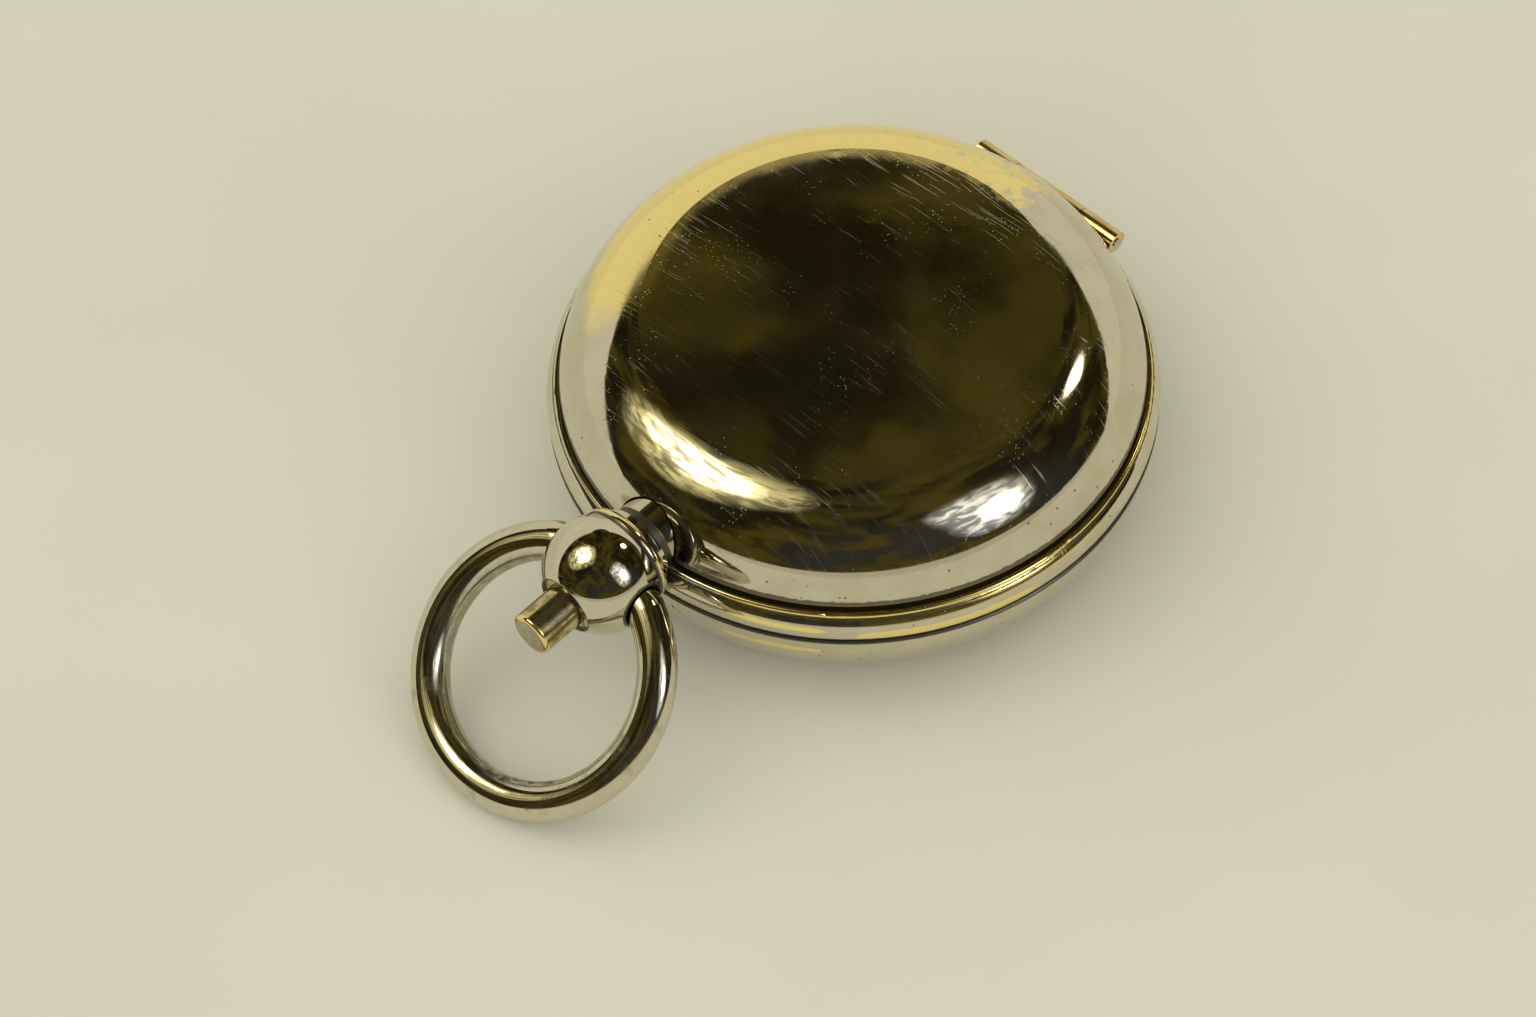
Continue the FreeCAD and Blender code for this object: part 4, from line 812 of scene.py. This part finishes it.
around, first, last = new_tree("around_the_dial", [
    ("Geometry", "Geometry"), ("Count", "Int"), ("First Turn", "Float"), ("Turn Step", "Float"),
    ("Finish", "Material")])
points = add_node(around, "GeometryNodePoints", Count=first.outputs["Count"])
index = around.nodes.new("GeometryNodeInputIndex")
turn = total(around, product(around, index.outputs[0], first.outputs["Turn Step"]),
             first.outputs["First Turn"])
turning = add_node(around, "ShaderNodeCombineXYZ", Z=calculate(around, "RADIANS", turn))
copies = add_node(around, "GeometryNodeInstanceOnPoints", Points=points.outputs[0],
                  Instance=first.outputs["Geometry"])
around.links.new(turning.outputs[0], copies.inputs["Rotation"])
whole = add_node(around, "GeometryNodeRealizeInstances", Geometry=copies.outputs[0])
coated = add_node(around, "GeometryNodeSetMaterial", Geometry=whole.outputs[0])
around.links.new(first.outputs["Finish"], coated.inputs["Material"])
around.links.new(coated.outputs[0], last.inputs[0])


def repeat_round(name, mesh, count, material, first_turn=0):
    grown(name, mesh, around, {"Count": count, "Turn Step": 360 / count,
                               "First Turn": float(first_turn), "Finish": material})


card_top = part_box("dial_plate")[1].z
ring_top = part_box("degree_ring")[1].z
print_height = 0.02 * mm
dial_opening = 17.9 * mm
rose_reach = 11.2 * mm
rose_waist = 1.9 * mm
minor_reach_share = 0.68
heart_share = 0.35


def rose_half(name, reach, side, low):
    """Half a point of the rose, on one side of the line from its heart to its tip."""
    half_turn = math.radians(22.5) * side
    hollow = (rose_waist * math.sin(half_turn), rose_waist * math.cos(half_turn))
    outline = [(0, rose_waist * heart_share), hollow, (0, reach)]
    return prism(name, outline if side > 0 else outline[::-1], low, low + print_height)


rose_points = (("minor", rose_reach * minor_reach_share, 45, card_top),
               ("major", rose_reach, 0, card_top + print_height / 2))
for size_name, reach, first_turn, low in rose_points:
    for side, side_name, material in ((-1, "dark", blue_ink), (1, "light", ink)):
        name = "rose_%s_%s" % (size_name, side_name)
        repeat_round(name, rose_half(name, reach, side, low), count=4, material=material,
                     first_turn=first_turn)


def bar(name, inner, outer, width, low):
    half = width / 2
    outline = [(-half, inner), (half, inner), (half, outer), (-half, outer)]
    return prism(name, outline, low, low + print_height)


tick_outer = dial_opening - 0.12 * mm
fine_inner = tick_outer - 0.75 * mm
ten_inner = tick_outer - 1.15 * mm
card_tick_inner = 13.75 * mm
card_tick_outer = 14.55 * mm
fine_tick = bar("fine_tick", fine_inner, tick_outer, width=0.07 * mm, low=ring_top)
ten_tick = bar("ten_tick", ten_inner, tick_outer, width=0.12 * mm, low=ring_top)
card_tick = bar("card_tick", card_tick_inner, card_tick_outer, width=0.10 * mm, low=card_top)
repeat_round("degree_ticks_fine", fine_tick, count=180, material=ink)
repeat_round("degree_ticks_ten", ten_tick, count=36, material=ink)
repeat_round("card_ticks", card_tick, count=32, material=ink)


def lettered(name, words, size, reach, level, first_turn=0):
    """Figures or letters in ink round the dial, each upright as seen from its middle."""
    tree, first, last = new_tree(name, [("Size", "Float"), ("Finish", "Material")])
    joined = tree.nodes.new("GeometryNodeJoinGeometry")
    for number, word in enumerate(words):
        text = add_node(tree, "GeometryNodeStringToCurves", {"align_x": "CENTER", "align_y": "MIDDLE"},
                        String=word)
        tree.links.new(first.outputs["Size"], text.inputs["Size"])
        turn = -math.radians(first_turn + number * 360 / len(words))
        spot = Vector((-math.sin(turn) * reach, math.cos(turn) * reach, 0))
        set_place = add_node(tree, "GeometryNodeTransform", Geometry=text.outputs[0])
        set_place.inputs["Translation"].default_value = spot
        set_place.inputs["Rotation"].default_value = (0, 0, turn)
        tree.links.new(set_place.outputs[0], joined.inputs[0])
    loose = add_node(tree, "GeometryNodeRealizeInstances", Geometry=joined.outputs[0])
    face = add_node(tree, "GeometryNodeFillCurve", Curve=loose.outputs[0])
    raised = add_node(tree, "GeometryNodeExtrudeMesh", {"mode": "FACES"}, Mesh=face.outputs[0])
    raised.inputs["Individual"].default_value = False
    raised.inputs["Offset Scale"].default_value = print_height
    under = add_node(tree, "GeometryNodeFlipFaces", Mesh=face.outputs[0])
    shell = tree.nodes.new("GeometryNodeJoinGeometry")
    tree.links.new(raised.outputs[0], shell.inputs[0])
    tree.links.new(under.outputs[0], shell.inputs[0])
    whole = add_node(tree, "GeometryNodeMergeByDistance", Geometry=shell.outputs[0])
    whole.inputs["Distance"].default_value = print_height / 10
    lifted = add_node(tree, "GeometryNodeTransform", Geometry=whole.outputs[0])
    lifted.inputs["Translation"].default_value = (0, 0, level)
    coated = add_node(tree, "GeometryNodeSetMaterial", Geometry=lifted.outputs[0])
    tree.links.new(first.outputs["Finish"], coated.inputs["Material"])
    tree.links.new(coated.outputs[0], last.inputs[0])
    grown(name, bpy.data.meshes.new(name), tree, {"Size": size, "Finish": ink})


figures = [str(degrees) for degrees in range(0, 360, 30)]
lettered("degree_figures", figures, size=1.25 * mm, reach=15.95 * mm, level=ring_top)
lettered("quarter_letters", ["N", "E", "S", "W"], size=2.3 * mm, reach=12.5 * mm, level=card_top)
lettered("eighth_letters", ["NE", "SE", "SW", "NW"], size=1.35 * mm, reach=10.0 * mm,
         level=card_top, first_turn=45)

# Glass
# A slightly domed glass with a ground edge, held in the bezel by a sprung steel ring. Wiping
# has left a thin smear on it.
glass = bpy.data.materials.new("crystal_glass")
glass.use_nodes = True
tree = glass.node_tree
shader = tree.nodes["Principled BSDF"]
place = add_node(tree, "ShaderNodeTexCoord").outputs["Object"]
smear = noise(tree, place, 8 * mm, detail=4, rough=0.6)
set_socket(tree, shader.inputs["Base Color"], (0.97, 0.98, 0.96))
shader.inputs["Transmission Weight"].default_value = 1.0
shader.inputs["IOR"].default_value = 1.5
tree.links.new(rising(tree, smear, 0.45, 0.75, 0.01, 0.05), shader.inputs["Roughness"])
finish(glass, "crystal")

low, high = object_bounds()
